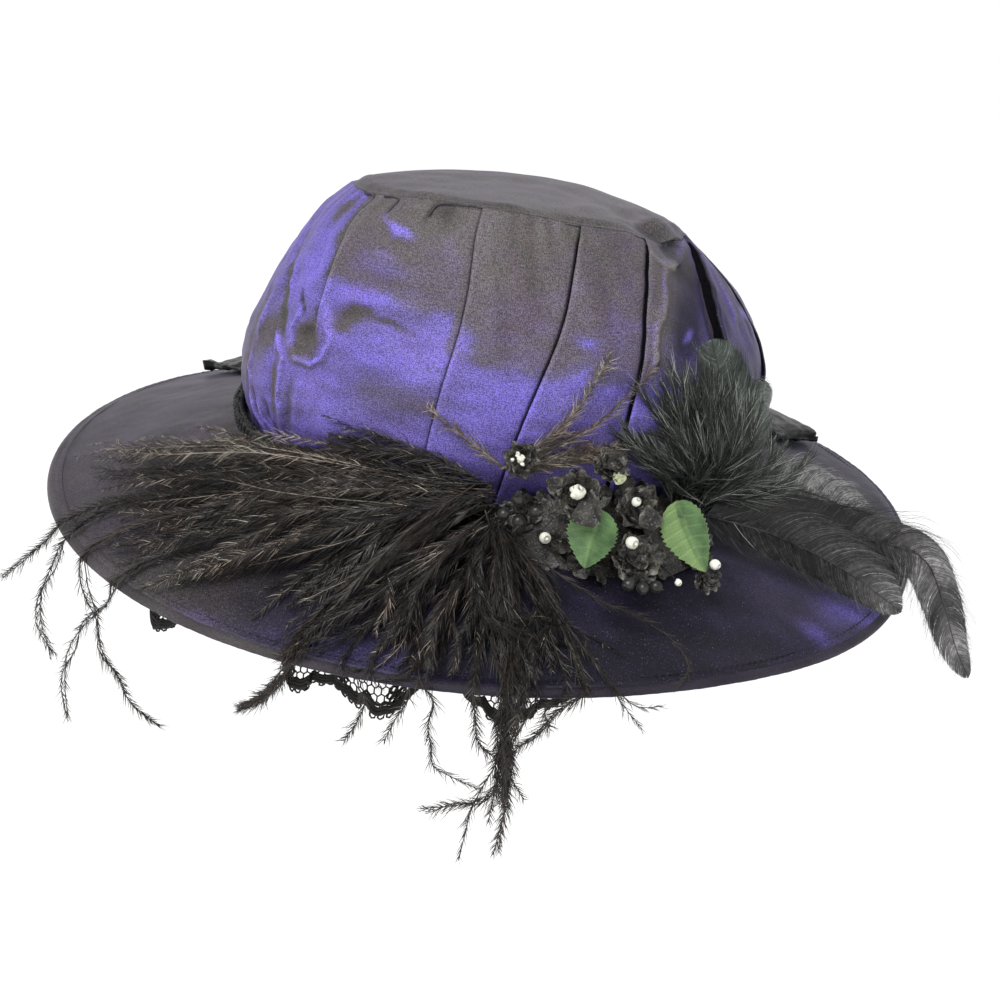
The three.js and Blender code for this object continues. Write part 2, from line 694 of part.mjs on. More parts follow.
function wisps(grow = 0) {
  const thickness = 2;
  const rootAngle = -85;
  const locks = WISPS.map(({ angle, height, width }) => {
    const middle = crownPoint(mix(rootAngle, angle, 0.5), mix(WISP_ROOT.z, height, 0.5), 3.4);
    return blade([WISP_ROOT, middle, crownPoint(angle, height, 3)], width, thickness, 4, grow);
  });
  const head = lump(WISP_ROOT, vec(4 + grow, 4 + grow, 3 + grow), vec(0, -0.7, 0.7), 6, 4);
  return fuse([head, ...locks]);
}

// Fluffy hackle tuft against the crown
const TUFT_ROOT = vec(76, -73, 14);
const TUFT = [
  { angle: -66, height: 44, width: 9, out: 6 },
  { angle: -58, height: 60, width: 11, out: 5 },
  { angle: -49, height: 66, width: 11, out: 6 },
  { angle: -44, height: 60, width: 10, out: 8 },
  { angle: -57, height: 46, width: 10, out: 11 },
  { angle: -48, height: 48, width: 10, out: 13 },
];

function hackleTuft(grow = 0) {
  const rootAngle = -47;
  const locks = TUFT.map(({ angle, height, width, out }) => {
    const middle = crownPoint(mix(rootAngle, angle, 0.5), mix(TUFT_ROOT.z, height, 0.5), out + 3);
    return blade([TUFT_ROOT, middle, crownPoint(angle, height, out)], width, 4, 4, grow);
  });
  const head = lump(TUFT_ROOT, vec(10 + grow, 10 + grow, 9 + grow), vec(0.5, -0.5, 0.7), 7, 4);
  return fuse([head, ...locks]);
}

// Broad cock feathers: the points that each quill passes, and its width
const COQUE = [
  { width: 18, quill: [vec(81, -69, 20), vec(88, -63, 44), vec(84, -57, 69)] },
  { width: 13, quill: [vec(81.5, -69.5, 16.5), vec(100, -56, 34), vec(101, -47, 47), vec(103, -42, 36)] },
  { width: 15, quill: [vec(82, -69.5, 13), vec(116, -26, 16), vec(138, -6, 8), vec(153, 8, -2)] },
  {
    width: 18,
    quill: [vec(80.5, -73, 8), vec(126, -52, 10), vec(160, -44, -1), vec(187, -53, -24), vec(199, -60, -50)],
  },
  { width: 16, quill: [vec(78.5, -77, 9), vec(118, -78, 5), vec(150, -84, -7), vec(172, -88, -26)] },
  {
    width: 15,
    quill: [vec(81.5, -71, 10.5), vec(126, -36, 9), vec(156, -22, 0), vec(186, -24, -18), vec(200, -40, -36)],
  },
];

// Loops of the bow: from the knot round to their ends, and how high they stand
const BOW_LOOPS = [
  { name: 'bow_loop_left', knotAngle: 96, endAngle: 146, across: 0.62, rise: 6 },
  { name: 'bow_loop_right', knotAngle: 84, endAngle: 27, across: 0.66, rise: 11 },
];

const coqueFeather = ({ quill, width }, grow = 0) => blade(quill, width, 2.4, 7, grow, vec(0.3, -0.75, 0.6));

// The bow: a ribbon swept along a path over the brim, its width running outwards
function ribbon(stations) {
  const half = BOW.thickness / 2;
  const place = ({ angle, across, above }) => brimPoint(angle, across, above);
  const sections = stations.map((station, i) => {
    const { angle, across, above, width } = station;
    const before = place(stations[Math.max(0, i - 1)]);
    const along = place(stations[Math.min(stations.length - 1, i + 1)]).sub(before).normalize();
    const radial = brimPoint(angle, across + 0.1, above).sub(brimPoint(angle, across - 0.1, above));
    const side = radial.addScaledVector(along, -radial.dot(along)).normalize();
    const up = side.clone().cross(along).normalize().multiplyScalar(half);
    const reach = side.clone().multiplyScalar(width / 2);
    const at = place(station);
    return [
      at.clone().add(reach).add(up),
      at.clone().sub(reach).add(up),
      at.clone().sub(reach).sub(up),
      at.clone().add(reach).sub(up),
    ];
  });
  return spindleSolid(middleOf(sections[0]), sections, middleOf(sections.at(-1)));
}

// A loop goes out along the brim, turns back over itself and returns to the knot
function bowLoop({ knotAngle, endAngle, across, rise }) {
  const station = (part, above, fill) => ({
    angle: mix(knotAngle, endAngle, part),
    across: mix(0.44, across, part),
    above,
    width: BOW.ribbonWidth * fill,
  });
  return ribbon([
    station(0, 3, 0.4),
    station(0.3, 2.2, 0.8),
    station(0.7, 2.2, 1),
    station(0.97, 3.4, 1),
    station(1, rise * 0.45, 1),
    station(0.95, rise * 0.85, 1),
    station(0.7, rise, 1),
    station(0.3, rise, 0.8),
    station(0, 10, 0.4),
  ]);
}

function bowKnot(grow = 0) {
  return lump(brimPoint(90, 0.46, 7), vec(8 + grow, 12 + grow, 7 + grow), vec(0, 0.2, 1));
}

// Putting the hat together
addPiece('crown_side', crownSide(), COLOURS.taffeta);
addPiece('crown_tip', crownTip(), COLOURS.taffeta);
addPiece('crown_braid', braid(), COLOURS.braid);
addPiece('brim', brim(), COLOURS.taffeta);
addPiece('brim_rolled_edge', rolledEdge(), COLOURS.edge);
addPiece('lace_ruffle', laceRuffle(), COLOURS.lace);

// Trimmings are set one after another, each cut clear of the hat and of those before it
let taken = hatBlock;
function addTrimming(name, make, colour) {
  addPiece(name, make(0).subtract(taken), colour);
  taken = taken.add(make(GAP));
}

addTrimming('flower_backing', flowerBacking, COLOURS.organza);
LEAVES.forEach((row) => addTrimming(row.name, (grow) => leaf(row, grow), COLOURS.leaf));
BLOSSOMS.forEach((row, i) => addTrimming(`blossom_${i + 1}`, (grow) => blossom(row, grow), COLOURS.organza));
Object.entries(BERRIES).forEach(([name, bunch]) => {
  addTrimming(name, (grow) => berries(bunch, grow), COLOURS.berry);
});
STAMENS.forEach((row, i) => addTrimming(`stamen_${i + 1}`, () => stamen(row), COLOURS.stamen));
COQUE.forEach((row, i) => {
  addTrimming(`coque_feather_${i + 1}`, (grow) => coqueFeather(row, grow), COLOURS.coque);
});
addTrimming('hackle_tuft', hackleTuft, COLOURS.coque);
addTrimming('ostrich_wisps', wisps, COLOURS.ostrich);
addTrimming('ostrich_spray', (grow) => strands(SPRAY_ROOT, SPRAY, vec(10, 8, 8), grow), COLOURS.ostrich);
addTrimming('ostrich_fall', (grow) => strands(FALL_ROOT, FALL, vec(9, 7, 7), grow), COLOURS.ostrich);
addTrimming('bow_knot', bowKnot, COLOURS.satin);
BOW_LOOPS.forEach((row) => addPiece(row.name, bowLoop(row).subtract(taken), COLOURS.satin));

export default group;
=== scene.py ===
import bpy
import numpy as np
from mathutils import Matrix, Vector


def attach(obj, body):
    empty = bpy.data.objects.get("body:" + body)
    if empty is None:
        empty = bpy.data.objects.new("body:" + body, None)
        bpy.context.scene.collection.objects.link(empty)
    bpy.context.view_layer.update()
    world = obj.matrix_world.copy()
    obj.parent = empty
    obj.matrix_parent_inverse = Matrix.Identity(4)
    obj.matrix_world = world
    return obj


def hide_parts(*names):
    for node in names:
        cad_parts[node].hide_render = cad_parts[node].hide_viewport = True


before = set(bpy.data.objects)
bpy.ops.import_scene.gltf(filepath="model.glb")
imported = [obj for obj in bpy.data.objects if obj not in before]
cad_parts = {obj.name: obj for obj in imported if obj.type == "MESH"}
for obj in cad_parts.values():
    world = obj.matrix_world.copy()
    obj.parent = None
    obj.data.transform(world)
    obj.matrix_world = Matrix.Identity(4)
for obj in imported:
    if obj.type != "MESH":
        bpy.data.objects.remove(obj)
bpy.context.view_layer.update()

MM = 0.001
rng = np.random.default_rng(7)


# Tables

def table(columns, *rows):
    """Named columns from rows of numbers."""
    return dict(zip(columns.split(), np.array(rows, float).T))


# Half widths along X and Y of the foot of the crown, of the rim and of the crown's tip
BASE = np.array([97.0, 86.0])
RIM = np.array([178.0, 164.0])
TIP_HALF = np.array([65.0, 58.8])

# Usual radii of the crown, the rim and the tip, to turn angles into lengths along the cloth
CROWN_RADIUS = 92
RIM_RADIUS = 171
TIP_RADIUS = 62

SEAM_HEIGHT = 97.4
SEAM_GAP = 0.3
TIP_BULGE = 9.6
CLOTH = 1.5
BRIM_THICKNESS = 2.0
BRIM_WIDTH = RIM[0] - BASE[0]

# The brim droops as this power of the way out to the rim
BRIM_BEND = 1.15

CROWN = table(
    "height half_x half_y shift_x",
    (0, 97, 86, 0),
    (22, 105, 93, 1),
    (40, 104, 92, 3),
    (60, 97, 85.5, 4),
    (76, 87, 76.5, 2.5),
    (88, 76, 67.5, 0.5),
    (97.4, 65.6, 59.4, 0),
)

# Folded edges of the tucks: angle at the base, at the middle, at four fifths of the height and at the top,
# how proud each stands, where it starts, how far it gapes, the height at which the panel after it turns from
# purple to grey, and how grey that is; that turn is the shot cloth's painted sheen
TUCKS = table(
    "low middle high top step start gape turn grey",
    (-150, -166, -178, -190, 1.1, 0, 0.2, 130, 0.5),
    (-137.5, -154.5, -168, -182, 1.3, 8, 0.3, 130, 0.4),
    (-122, -136.5, -141, -144, 1.6, 44, 0.7, 73, 1.0),
    (-102, -102, -100.5, -101, 1.2, 0, 0.15, 58, 0.95),
    (-87.5, -82.3, -76, -69.5, 1.2, 0, 0.1, 56, 0.9),
    (-65, -61.3, -54.5, -44, 1.2, 0, 0.3, 54, 0.9),
    (-46, -36.5, -27, -8, 2.4, 34, 2.6, 36, 0.5),
    (-14, -8, 2, 12, 1.1, 0, 0.2, 40, 0.5),
    (16, 20, 29, 38, 1.1, 0, 0.2, 60, 0.7),
    (48, 50, 55, 60, 1.1, 0, 0.2, 75, 0.8),
    (80, 80, 82, 84, 1.1, 0, 0.2, 50, 0.8),
    (112, 110, 110, 110, 1.1, 0, 0.2, 82, 0.7),
    (144, 140, 138, 136, 1.1, 0, 0.2, 64, 0.8),
    (178, 166, 160, 154, 1.1, 0, 0.2, 96, 0.6),
)

SEAM_RISE = table(
    "angle rise",
    (-180, 1.5),
    (-150, 4),
    (-120, 9),
    (-90, 10),
    (-68, 7.5),
    (-50, 5),
    (-36, 0.5),
    (-15, -0.5),
    (20, -3),
    (60, -7.5),
    (90, -9),
    (130, -6),
    (160, -1.5),
    (180, 1.5),
)

RIM_HEIGHTS = table(
    "angle height",
    (-180, -25.7),
    (-150, -30),
    (-120, -31.5),
    (-90, -29),
    (-60, -25.2),
    (-30, -24.6),
    (-5, -17),
    (15, -12.5),
    (35, -12),
    (60, -17),
    (90, -23),
    (120, -24.5),
    (150, -23),
    (180, -25.7),
)

# Creases and small folds in the side of the crown: from one place to another, width, how far they rise, and
# how much they change the violet and the lightness of the cloth: painted sheen, painted shade in the grooves
# and painted highlights on the ridges
CREASES = table(
    "angle0 height0 angle1 height1 width rise shot shade",
    (-143.6, 97.5, -144.2, 89, 1.5, -1.4, -0.4, -0.65),
    (-130.8, 97, -131.2, 91.5, 1.2, -0.9, -0.2, -0.5),
    (-116.4, 97, -117.4, 90.5, 1.4, -1.2, -0.2, -0.6),
    (-114, 95, -109, 90, 2.6, -0.6, -0.2, -0.25),
    (-145, 92, -142.8, 82, 1.0, -0.8, 0, -0.55),
    (-142.8, 84, -141.8, 71, 1.1, -1.0, 0, -0.6),
    (-141.6, 73, -138, 58, 1.2, -1.2, -0.2, -0.6),
    (-138.6, 60, -133.6, 49, 1.3, -1.2, -0.5, -0.5),
    (-139.4, 90, -139.8, 76, 0.9, 0.5, 0, 0.3),
    (-139, 74, -136.2, 62, 1.0, 0.6, 0, 0.4),
    (-135.4, 63, -131.4, 55, 1.2, 0.8, 0.1, 0.45),
    (-132, 57, -130, 51, 1.2, 0.9, 0.1, 0.28),
    (-130, 52, -131.2, 45.4, 1.2, 0.9, 0.1, 0.3),
    (-131, 46, -134.6, 42.4, 1.2, 0.9, 0.1, 0.3),
    (-134, 42.8, -139, 42.2, 1.2, 1.0, 0.1, 0.35),
    (-138.4, 42, -142.6, 46.6, 1.2, 1.0, 0.1, 0.35),
    (-142, 45.6, -144.6, 53, 1.2, 0.9, 0.1, 0.3),
    (-144.4, 52, -144.4, 61, 1.1, 0.8, 0.2, 0.3),
    (-148, 64.5, -142.4, 57.5, 1.0, -1.0, -0.4, -0.7),
    (-138.6, 55, -138.4, 47, 4.0, -2.4, -0.3, 0.0),
    (-166, 79, -161.5, 70, 2.2, -1.4, -0.8, -0.5),
    (-162, 71, -150.6, 54, 2.6, -1.6, -1.0, -0.5),
    (-151.5, 55, -146, 46, 2.0, -1.0, -0.7, -0.35),
    (-159, 72, -150, 59, 1.4, 1.2, 0.1, 0.2),
    (-150, 47.5, -142.8, 40, 0.9, 0.9, 0.1, 0.45),
    (-142.8, 40, -138.6, 17, 1.0, 1.0, 0.1, 0.5),
    (-145.5, 40, -140.8, 15, 2.2, -1.0, -0.55, -0.35),
    (-137.2, 34, -136.2, 13, 2.0, -0.8, -0.2, -0.25),
    (-160.5, 57, -156, 42, 2.0, 1.2, 0.3, 0.25),
    (-163, 52, -158, 26, 2.4, -1.2, -0.6, -0.35),
    (-158, 36, -152.5, 20, 1.4, 0.9, 0.1, 0.4),
    (-154.4, 19.5, -149.5, 8, 1.0, 1.2, 0.0, 0.5),
    (-152, 23, -147.8, 9, 1.2, -1.2, -0.3, -0.4),
    (-149.5, 19, -145, 7, 1.0, 1.0, 0.0, 0.45),
    (-146.5, 21, -142.6, 8, 1.2, -1.0, -0.3, -0.35),
    (-143.6, 24, -141.2, 12, 0.9, 0.8, 0.0, 0.3),
    (-132.5, 61, -124, 64.8, 3.0, -1.4, -0.9, -0.36),
    (-131, 58, -126, 60, 2.0, -0.4, -0.6, -0.2),
    (-124.5, 65, -111, 62.5, 1.2, -0.6, -0.4, -0.2),
    (-134, 68.5, -112, 70, 2.2, 0.8, 0.1, 0.16),
    (-131.5, 90.2, -117.2, 85.7, 1.15, 0.8, 0.75, 0.4),
    (-135, 79, -116, 77, 2.4, 0.4, 0.22, 0.06),
    (-128, 81.5, -121, 80.5, 0.9, 0.4, 0.15, 0.16),
    (-118, 92, -104, 91, 4.0, -0.6, -0.15, -0.16),
    (-108, 90, -104.5, 78, 3.0, 0.5, 0.06, 0.1),
    (-110, 55, -106, 42, 3.0, 0.5, 0.0, 0.12),
    (-96, 92, -93, 64, 3.0, 0.4, 0.02, 0.08),
    (-88, 94, -82, 72, 4.0, -0.5, -0.06, -0.14),
    (-74, 94, -72, 60, 3.5, 0.5, 0.0, 0.08),
    (-66, 92, -66, 66, 3.0, -0.4, 0.1, -0.08),
    (-76, 68.5, -71, 66.5, 2.2, 0.3, 0.45, 0.1),
    (-76, 58, -73, 56, 3.8, 0.2, 0.45, 0.06),
    (-70, 56, -60, 52, 4.5, 0.2, 0.25, -0.2),
    (-15, 96.5, -28, 92.6, 1.3, 2.4, 0.05, 0.3),
    (-27.5, 92.6, -42.5, 90, 1.2, 2.2, -0.22, 0.35),
    (-41, 90.2, -47, 91.8, 1.0, 1.0, -0.22, 0.3),
    (-20, 96.4, -38, 95, 2.2, -2.6, -0.4, -0.55),
    (-34, 92, -43, 88, 1.2, 1.2, -0.22, 0.3),
    (-42.5, 88.8, -55, 71.3, 1.2, 1.6, -0.22, 0.35),
    (-54.5, 72, -58, 60, 1.2, 1.4, -0.22, 0.35),
    (-47, 88, -57.5, 64, 2.2, 0.4, -0.3, 0.0),
    (-26, 92, -45, 70, 9.0, -2.0, 0.3, -0.6),
    (-40, 76, -52.5, 58, 6.5, -1.6, 0.4, -0.55),
    (-28, 80, -34, 66, 4.0, -0.6, 0.2, -0.3),
    (-23, 88, -39, 57, 4.5, 0.0, 0.0, -0.5),
    (-46.5, 68, -42, 70.5, 1.2, 0.5, 0.5, 0.7),
    (-57, 56, -52, 40, 5.0, -0.8, 0.5, -0.25),
    (-12, 89, -24.5, 68, 1.5, 1.2, -0.4, 0.55),
    (-6, 86, -17, 62, 2.6, -1.4, 0.0, -0.55),
    (-14, 72.5, -11, 70, 2.6, 0.8, 0.5, 0.9),
    (2, 84, -6, 46, 9.0, -0.8, -0.1, -0.4),
    (12, 70, 6, 46, 4.0, -1.0, 0, -0.2),
    (30, 90, 44, 50, 5.0, 1.1, 0, 0.1),
    (66, 84, 72, 40, 5.0, -1.1, 0, -0.1),
    (96, 82, 92, 44, 5.0, 1.1, 0, 0.1),
    (120, 62, 130, 34, 7.0, -1.6, 0, -0.15),
    (150, 88, 158, 50, 5.0, 1.0, 0, 0.1),
)

# Broad patches of the side of the crown: where, how far they reach along and up, and their change of violet
# and lightness, which is painted sheen and painted light and shade
PATCHES = table(
    "angle height wide high shot shade",
    (-138.2, 50, 7, 7.5, -1.0, -0.4),
    (-153, 45, 6, 9, -0.5, -0.16),
    (-149, 74, 7, 13, 0.2, 0.16),
    (-153, 91, 6, 3.5, -0.6, -0.16),
    (-144.5, 84, 4, 4, -0.5, -0.1),
    (-158, 86, 5, 4, 0.15, -0.1),
    (-141, 75, 3, 4, -0.45, -0.1),
    (-132, 28, 12, 12, -0.05, 0.16),
    (-112, 40, 15, 8, -0.3, -0.1),
    (-120, 54, 14, 5, 0.1, 0.08),
    (-104, 58, 5, 12, 0.0, 0.14),
    (-100, 64, 4, 5, 0.45, 0.08),
    (-92, 44, 12, 13, 0.1, 0.06),
    (-86, 88, 9, 8, -0.12, -0.12),
    (-113, 96, 8, 3, -0.2, -0.2),
    (-58, 90, 10, 9, 0.12, -0.06),
    (-168, 40, 12, 30, -0.25, -0.2),
    (-14, 62, 36, 40, 0.12, -0.64),
    (-37, 88.5, 6, 3.5, -0.7, -0.1),
    (-30, 95, 15, 8, -0.6, -0.15),
    (-34, 91.5, 6, 2.6, -0.1, -0.5),
    (-46, 70, 12, 16, -0.05, -0.26),
    (-160, 34, 14, 24, -0.35, 0.0),
)

# Short dark lines where the side is sewn to the tip, thin tubes that stand for black stitches and the painted
# shadow of the gathers under them: angles and heights of their points
GATHERS = (
    ((-150, 97.0), (-146.5, 97.2), (-143.8, 96.6), (-143.6, 94.5), (-144, 91)),
    ((-137.5, 97.1), (-133.5, 97.2), (-131, 96.4), (-130.8, 94.4), (-131.2, 92.4)),
    ((-117, 92.6), (-116.6, 95.2), (-114, 96.8), (-109, 97.3), (-103, 97.1)),
)


# Geometry helpers

def mix(a, b, part):
    """The value at a part of the way from a to b."""
    return a + (b - a) * part


def ease(value, low, high):
    """From 0 at low to 1 at high, softly."""
    part = np.clip((value - low) / (high - low), 0, 1)
    return part * part * (3 - 2 * part)


def wrapped(angle):
    """The same angle between -180 and 180."""
    return (angle + 180) % 360 - 180


def arc_of(angle, radius=CROWN_RADIUS):
    """Millimetres round the hat for an angle, at a radius."""
    return np.radians(angle) * radius


def smooth(keys, values, at):
    """Values along a smooth curve through the rows of a table."""
    slopes = np.gradient(values, keys)
    i = np.clip(np.searchsorted(keys, at) - 1, 0, len(keys) - 2)
    gap = keys[i + 1] - keys[i]
    t = np.clip((at - keys[i]) / gap, 0, 1)
    start = (1 + 2 * t) * (1 - t) ** 2 * values[i] + t * (1 - t) ** 2 * gap * slopes[i]
    end = t * t * (3 - 2 * t) * values[i + 1] - t * t * (1 - t) * gap * slopes[i + 1]
    return start + end


def smooth_round(rows, angle, column):
    """The same for a table that goes once round the hat."""
    keys = rows["angle"]
    values = rows[column]
    keys = np.concatenate([keys[-3:-1] - 360, keys, keys[1:3] + 360])
    values = np.concatenate([values[-3:-1], values, values[1:3]])
    return smooth(keys, values, wrapped(np.asarray(angle)))


def ripple(x, y, length, seed, waves=7):
    """Soft uneven waves of about the given length, between -1 and 1."""
    draw = np.random.default_rng(seed)
    total = 0
    for _ in range(waves):
        turn = draw.uniform(0, np.pi)
        size = length * draw.uniform(0.7, 1.5)
        phase = draw.uniform(0, 2 * np.pi)
        total = total + np.sin((x * np.cos(turn) + y * np.sin(turn)) * 2 * np.pi / size + phase)
    return total / waves ** 0.5 * 0.7


def unit(vectors):
    """The same directions with length one."""
    length = np.linalg.norm(vectors, axis=-1, keepdims=True)
    return vectors / np.maximum(length, 1e-9)


def crown_point(angle, height, out):
    """A point on the smooth side of the crown, some way out from the cloth."""
    half_x = smooth(CROWN["height"], CROWN["half_x"], height) + out
    half_y = smooth(CROWN["height"], CROWN["half_y"], height) + out
    shift_x = smooth(CROWN["height"], CROWN["shift_x"], height)
    lift = smooth_round(SEAM_RISE, angle, "rise") * ease(height, SEAM_HEIGHT * 0.66, SEAM_HEIGHT)
    turn = np.radians(angle)
    return np.stack([half_x * np.cos(turn) + shift_x, half_y * np.sin(turn), height + lift], -1)


def brim_point(angle, across, above=0.0):
    """A point over the brim, from the crown (0) to the edge (1), and how high above it."""
    turn = np.radians(angle)
    across = np.asarray(across, float)
    height = smooth_round(RIM_HEIGHTS, angle, "height") * np.maximum(0, across) ** BRIM_BEND
    half_x = mix(BASE[0], RIM[0], across)
    half_y = mix(BASE[1], RIM[1], across)
    return np.stack(np.broadcast_arrays(half_x * np.cos(turn), half_y * np.sin(turn), height + above), -1)


def across_of(millimetres):
    """Place across the brim for millimetres out from the crown."""
    return millimetres / BRIM_WIDTH


def grid_faces(rows, columns, closed):
    """Quads of a grid of points, its last column joined to the first one if closed."""
    i, j = np.meshgrid(np.arange(rows - 1), np.arange(columns if closed else columns - 1), indexing="ij")
    k = (j + 1) % columns
    here = i * columns
    after = here + columns
    return np.stack([here + j, here + k, after + k, after + j], -1).reshape(-1, 4)


def closing_faces(rows, columns):
    """Quads that join the last row of a closed grid to its first one."""
    j = np.arange(columns)
    k = (j + 1) % columns
    last = (rows - 1) * columns
    return np.stack([k, j, j + last, k + last], -1)


def ring_faces(steps, sides, closed):
    """Quads of a tube made of rings, its last ring joined to the first one if closed."""
    i, j = np.meshgrid(np.arange(steps if closed else steps - 1), np.arange(sides), indexing="ij")
    k = (j + 1) % sides
    n = (i + 1) % steps
    return np.stack([i * sides + j, n * sides + j, n * sides + k, i * sides + k], -1).reshape(-1, 4)


def spline(points, count):
    """Evenly spaced points along a smooth curve through a few points."""
    points = np.asarray(points, float)
    keys = np.concatenate([[0], np.cumsum(np.linalg.norm(np.diff(points, axis=0), axis=1) ** 0.7)])
    fine = np.linspace(0, keys[-1], count * 4)
    curve = np.stack([smooth(keys, points[:, i], fine) for i in range(3)], -1)
    length = np.concatenate([[0], np.cumsum(np.linalg.norm(np.diff(curve, axis=0), axis=1))])
    even = np.linspace(0, length[-1], count)
    return np.stack([np.interp(even, length, curve[:, i]) for i in range(3)], -1)


def tubes(paths, radii, sides=4, closed=False):
    """Round tubes along many paths (tube, step, xyz), with a radius at each step."""
    paths = np.asarray(paths, float)
    count, steps, _ = paths.shape
    radii = np.broadcast_to(radii, (count, steps))
    if closed:
        along = unit(np.roll(paths, -1, 1) - np.roll(paths, 1, 1))
    else:
        along = unit(np.gradient(paths, axis=1))
    helper = np.where(np.abs(along[..., 2:]) < 0.8, [[[0, 0, 1.0]]], [[[1.0, 0, 0]]])
    side = unit(np.cross(along, helper))
    up = np.cross(side, along)
    turn = np.linspace(0, 2 * np.pi, sides, endpoint=False)
    ring = side[:, :, None] * np.cos(turn)[:, None] + up[:, :, None] * np.sin(turn)[:, None]
    points = paths[:, :, None] + ring * radii[:, :, None, None]
    offset = np.arange(count)[:, None, None] * (steps * sides)
    faces = [(ring_faces(steps, sides, closed)[None] + offset).reshape(-1, 4)]
    if not closed:
        cap = np.stack([np.zeros(sides - 2, int), np.arange(2, sides), np.arange(1, sides - 1)], -1)
        last = (steps - 1) * sides
        faces.append((cap[None] + offset).reshape(-1, 3))
        faces.append((cap[None, :, ::-1] + last + offset).reshape(-1, 3))
    return points.reshape(-1, 3), faces


def ribbons(paths, widths, facing):
    """Thin tapered strips along many paths (strip, step, xyz): pairs of points and one tip each."""
    paths = np.asarray(paths, float)
    count, steps, _ = paths.shape
    along = unit(np.gradient(paths, axis=1))
    facing = np.asarray(facing)
    facing = np.broadcast_to(facing if facing.ndim == 3 else facing[..., None, :], paths.shape)
    side = unit(np.cross(along, facing)) * (np.broadcast_to(widths, (count, steps)) / 2)[..., None]
    pairs = np.stack([paths[:, :-1] - side[:, :-1], paths[:, :-1] + side[:, :-1]], 2).reshape(count, -1, 3)
    points = np.concatenate([pairs, paths[:, -1:]], 1)
    size = 2 * steps - 1
    offset = np.arange(count)[:, None, None] * size
    i = np.arange(steps - 2)
    quads = np.stack([2 * i, 2 * i + 1, 2 * i + 3, 2 * i + 2], -1)
    tip = np.array([[2 * steps - 4, 2 * steps - 3, 2 * steps - 2]])
    return points.reshape(-1, 3), [(quads[None] + offset).reshape(-1, 4), (tip[None] + offset).reshape(-1, 3)]


class Build:
    """Gathers points, faces, point values and material numbers of one joined mesh."""

    def __init__(self):
        self.points = []
        self.faces = []
        self.marks = []
        self.values = {}
        self.count = 0

    def add(self, points, faces, mark=0, **values):
        """Adds points, groups of faces with a material number each, and values of the points."""
        points = np.asarray(points, float).reshape(-1, 3)
        for part, number in zip(faces, np.broadcast_to(mark, len(faces))):
            if len(part):
                self.faces.append(part + self.count)
                self.marks.append(np.full(len(part), number))
        for name, value in values.items():
            value = np.asarray(value, float)
            every_point = np.broadcast_to(value, (len(points), *value.shape[1:]))
            self.values.setdefault(name, []).append(every_point)
        self.points.append(points)
        self.count += len(points)

    def done(self, name, materials):
        """The joined mesh as an object that rides on the hat; a value with two columns becomes a UV map."""
        points = np.concatenate(self.points)
        loops = np.concatenate([part.ravel() for part in self.faces])
        sizes = np.concatenate([np.full(len(part), part.shape[1]) for part in self.faces])
        mesh = bpy.data.meshes.new(name)
        mesh.vertices.add(len(points))
        mesh.vertices.foreach_set("co", (points * MM).ravel())
        mesh.loops.add(len(loops))
        mesh.loops.foreach_set("vertex_index", loops)
        mesh.polygons.add(len(sizes))
        mesh.polygons.foreach_set("loop_start", np.cumsum(sizes) - sizes)
        mesh.polygons.foreach_set("use_smooth", np.full(len(sizes), True))
        mesh.polygons.foreach_set("material_index", np.concatenate(self.marks))
        for key, parts in self.values.items():
            value = np.concatenate(parts)
            if value.ndim == 2:
                mesh.uv_layers.new(name=key).data.foreach_set("uv", value[loops].ravel())
            else:
                mesh.attributes.new(key, "FLOAT", "POINT").data.foreach_set("value", value)
        for material in materials:
            mesh.materials.append(material)
        mesh.update(calc_edges=True)
        piece = bpy.data.objects.new(name, mesh)
        bpy.context.collection.objects.link(piece)
        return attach(piece, "root")


def dress(build, name, node, slot, *materials):
    """The finished mesh, which shows instead of its node's solid."""
    piece = build.done(name, materials)
    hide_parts(node)
    return piece


# Materials

class Shader:
    """A material under construction: nodes are added by kind, with their values and links."""

    def __init__(self, name):
        self.material = bpy.data.materials.new(name)
        self.material.use_nodes = True
        self.tree = self.material.node_tree
        self.surface = self.tree.nodes["Principled BSDF"]

    def put(self, node, values):
        """Sets a node's sockets to plain values, or links other nodes' outputs to them."""
        for key, value in values.items():
            socket = node.inputs[key]
            if isinstance(value, bpy.types.NodeSocket):
                self.tree.links.new(value, socket)
            else:
                socket.default_value = value

    def add(self, kind, out=0, settings=None, **values):
        """One output of a new node; a name such as _0 is the number of a socket."""
        node = self.tree.nodes.new("ShaderNode" + kind)
        for key, value in (settings or {}).items():
            setattr(node, key, value)
        self.put(node, {int(key[1:]) if key[0] == "_" else key: value for key, value in values.items()})
        return node.outputs[out]

    def attribute(self, name):
        return self.add("Attribute", 2, {"attribute_name": name})

    def uv(self, name):
        return self.add("UVMap", 0, {"uv_map": name})

    def place(self):
        """The place on the piece, in metres."""
        return self.add("TexCoord", 3)

    def noise(self, at, scale, detail=2.0, roughness=0.5):
        return self.add("TexNoise", 0, Vector=at, Scale=scale, Detail=detail, Roughness=roughness)

    def scaled(self, at, x, y, z):
        return self.add("VectorMath", 0, {"operation": "MULTIPLY"}, _0=at, _1=(x, y, z))

    def math(self, operation, a, b=0.0, c=0.0):
        return self.add("Math", 0, {"operation": operation}, _0=a, _1=b, _2=c)

    def spread(self, value, low, high, to_low=0.0, to_high=1.0):
        """A value from between low and high, spread to the other two."""
        return self.add("MapRange", 0, None, _0=value, _1=low, _2=high, _3=to_low, _4=to_high)

    def blend(self, part, a, b, mode="MIX"):
        """Colour a with a part of colour b."""
        node = self.tree.nodes.new("ShaderNodeMix")
        node.data_type = "RGBA"
        node.blend_type = mode
        self.put(node, {0: part, 6: a, 7: b})
        return node.outputs[2]

    def bump(self, height, distance, strength=1.0):
        """Relief of a height from 0 to 1, its distance in millimetres."""
        return self.add("Bump", 0, None, Height=height, Distance=distance * MM, Strength=strength)

    def finish(self, **values):
        """The finished material, with the values of its surface."""
        self.put(self.surface, {key.replace("_", " "): value for key, value in values.items()})
        return self.material


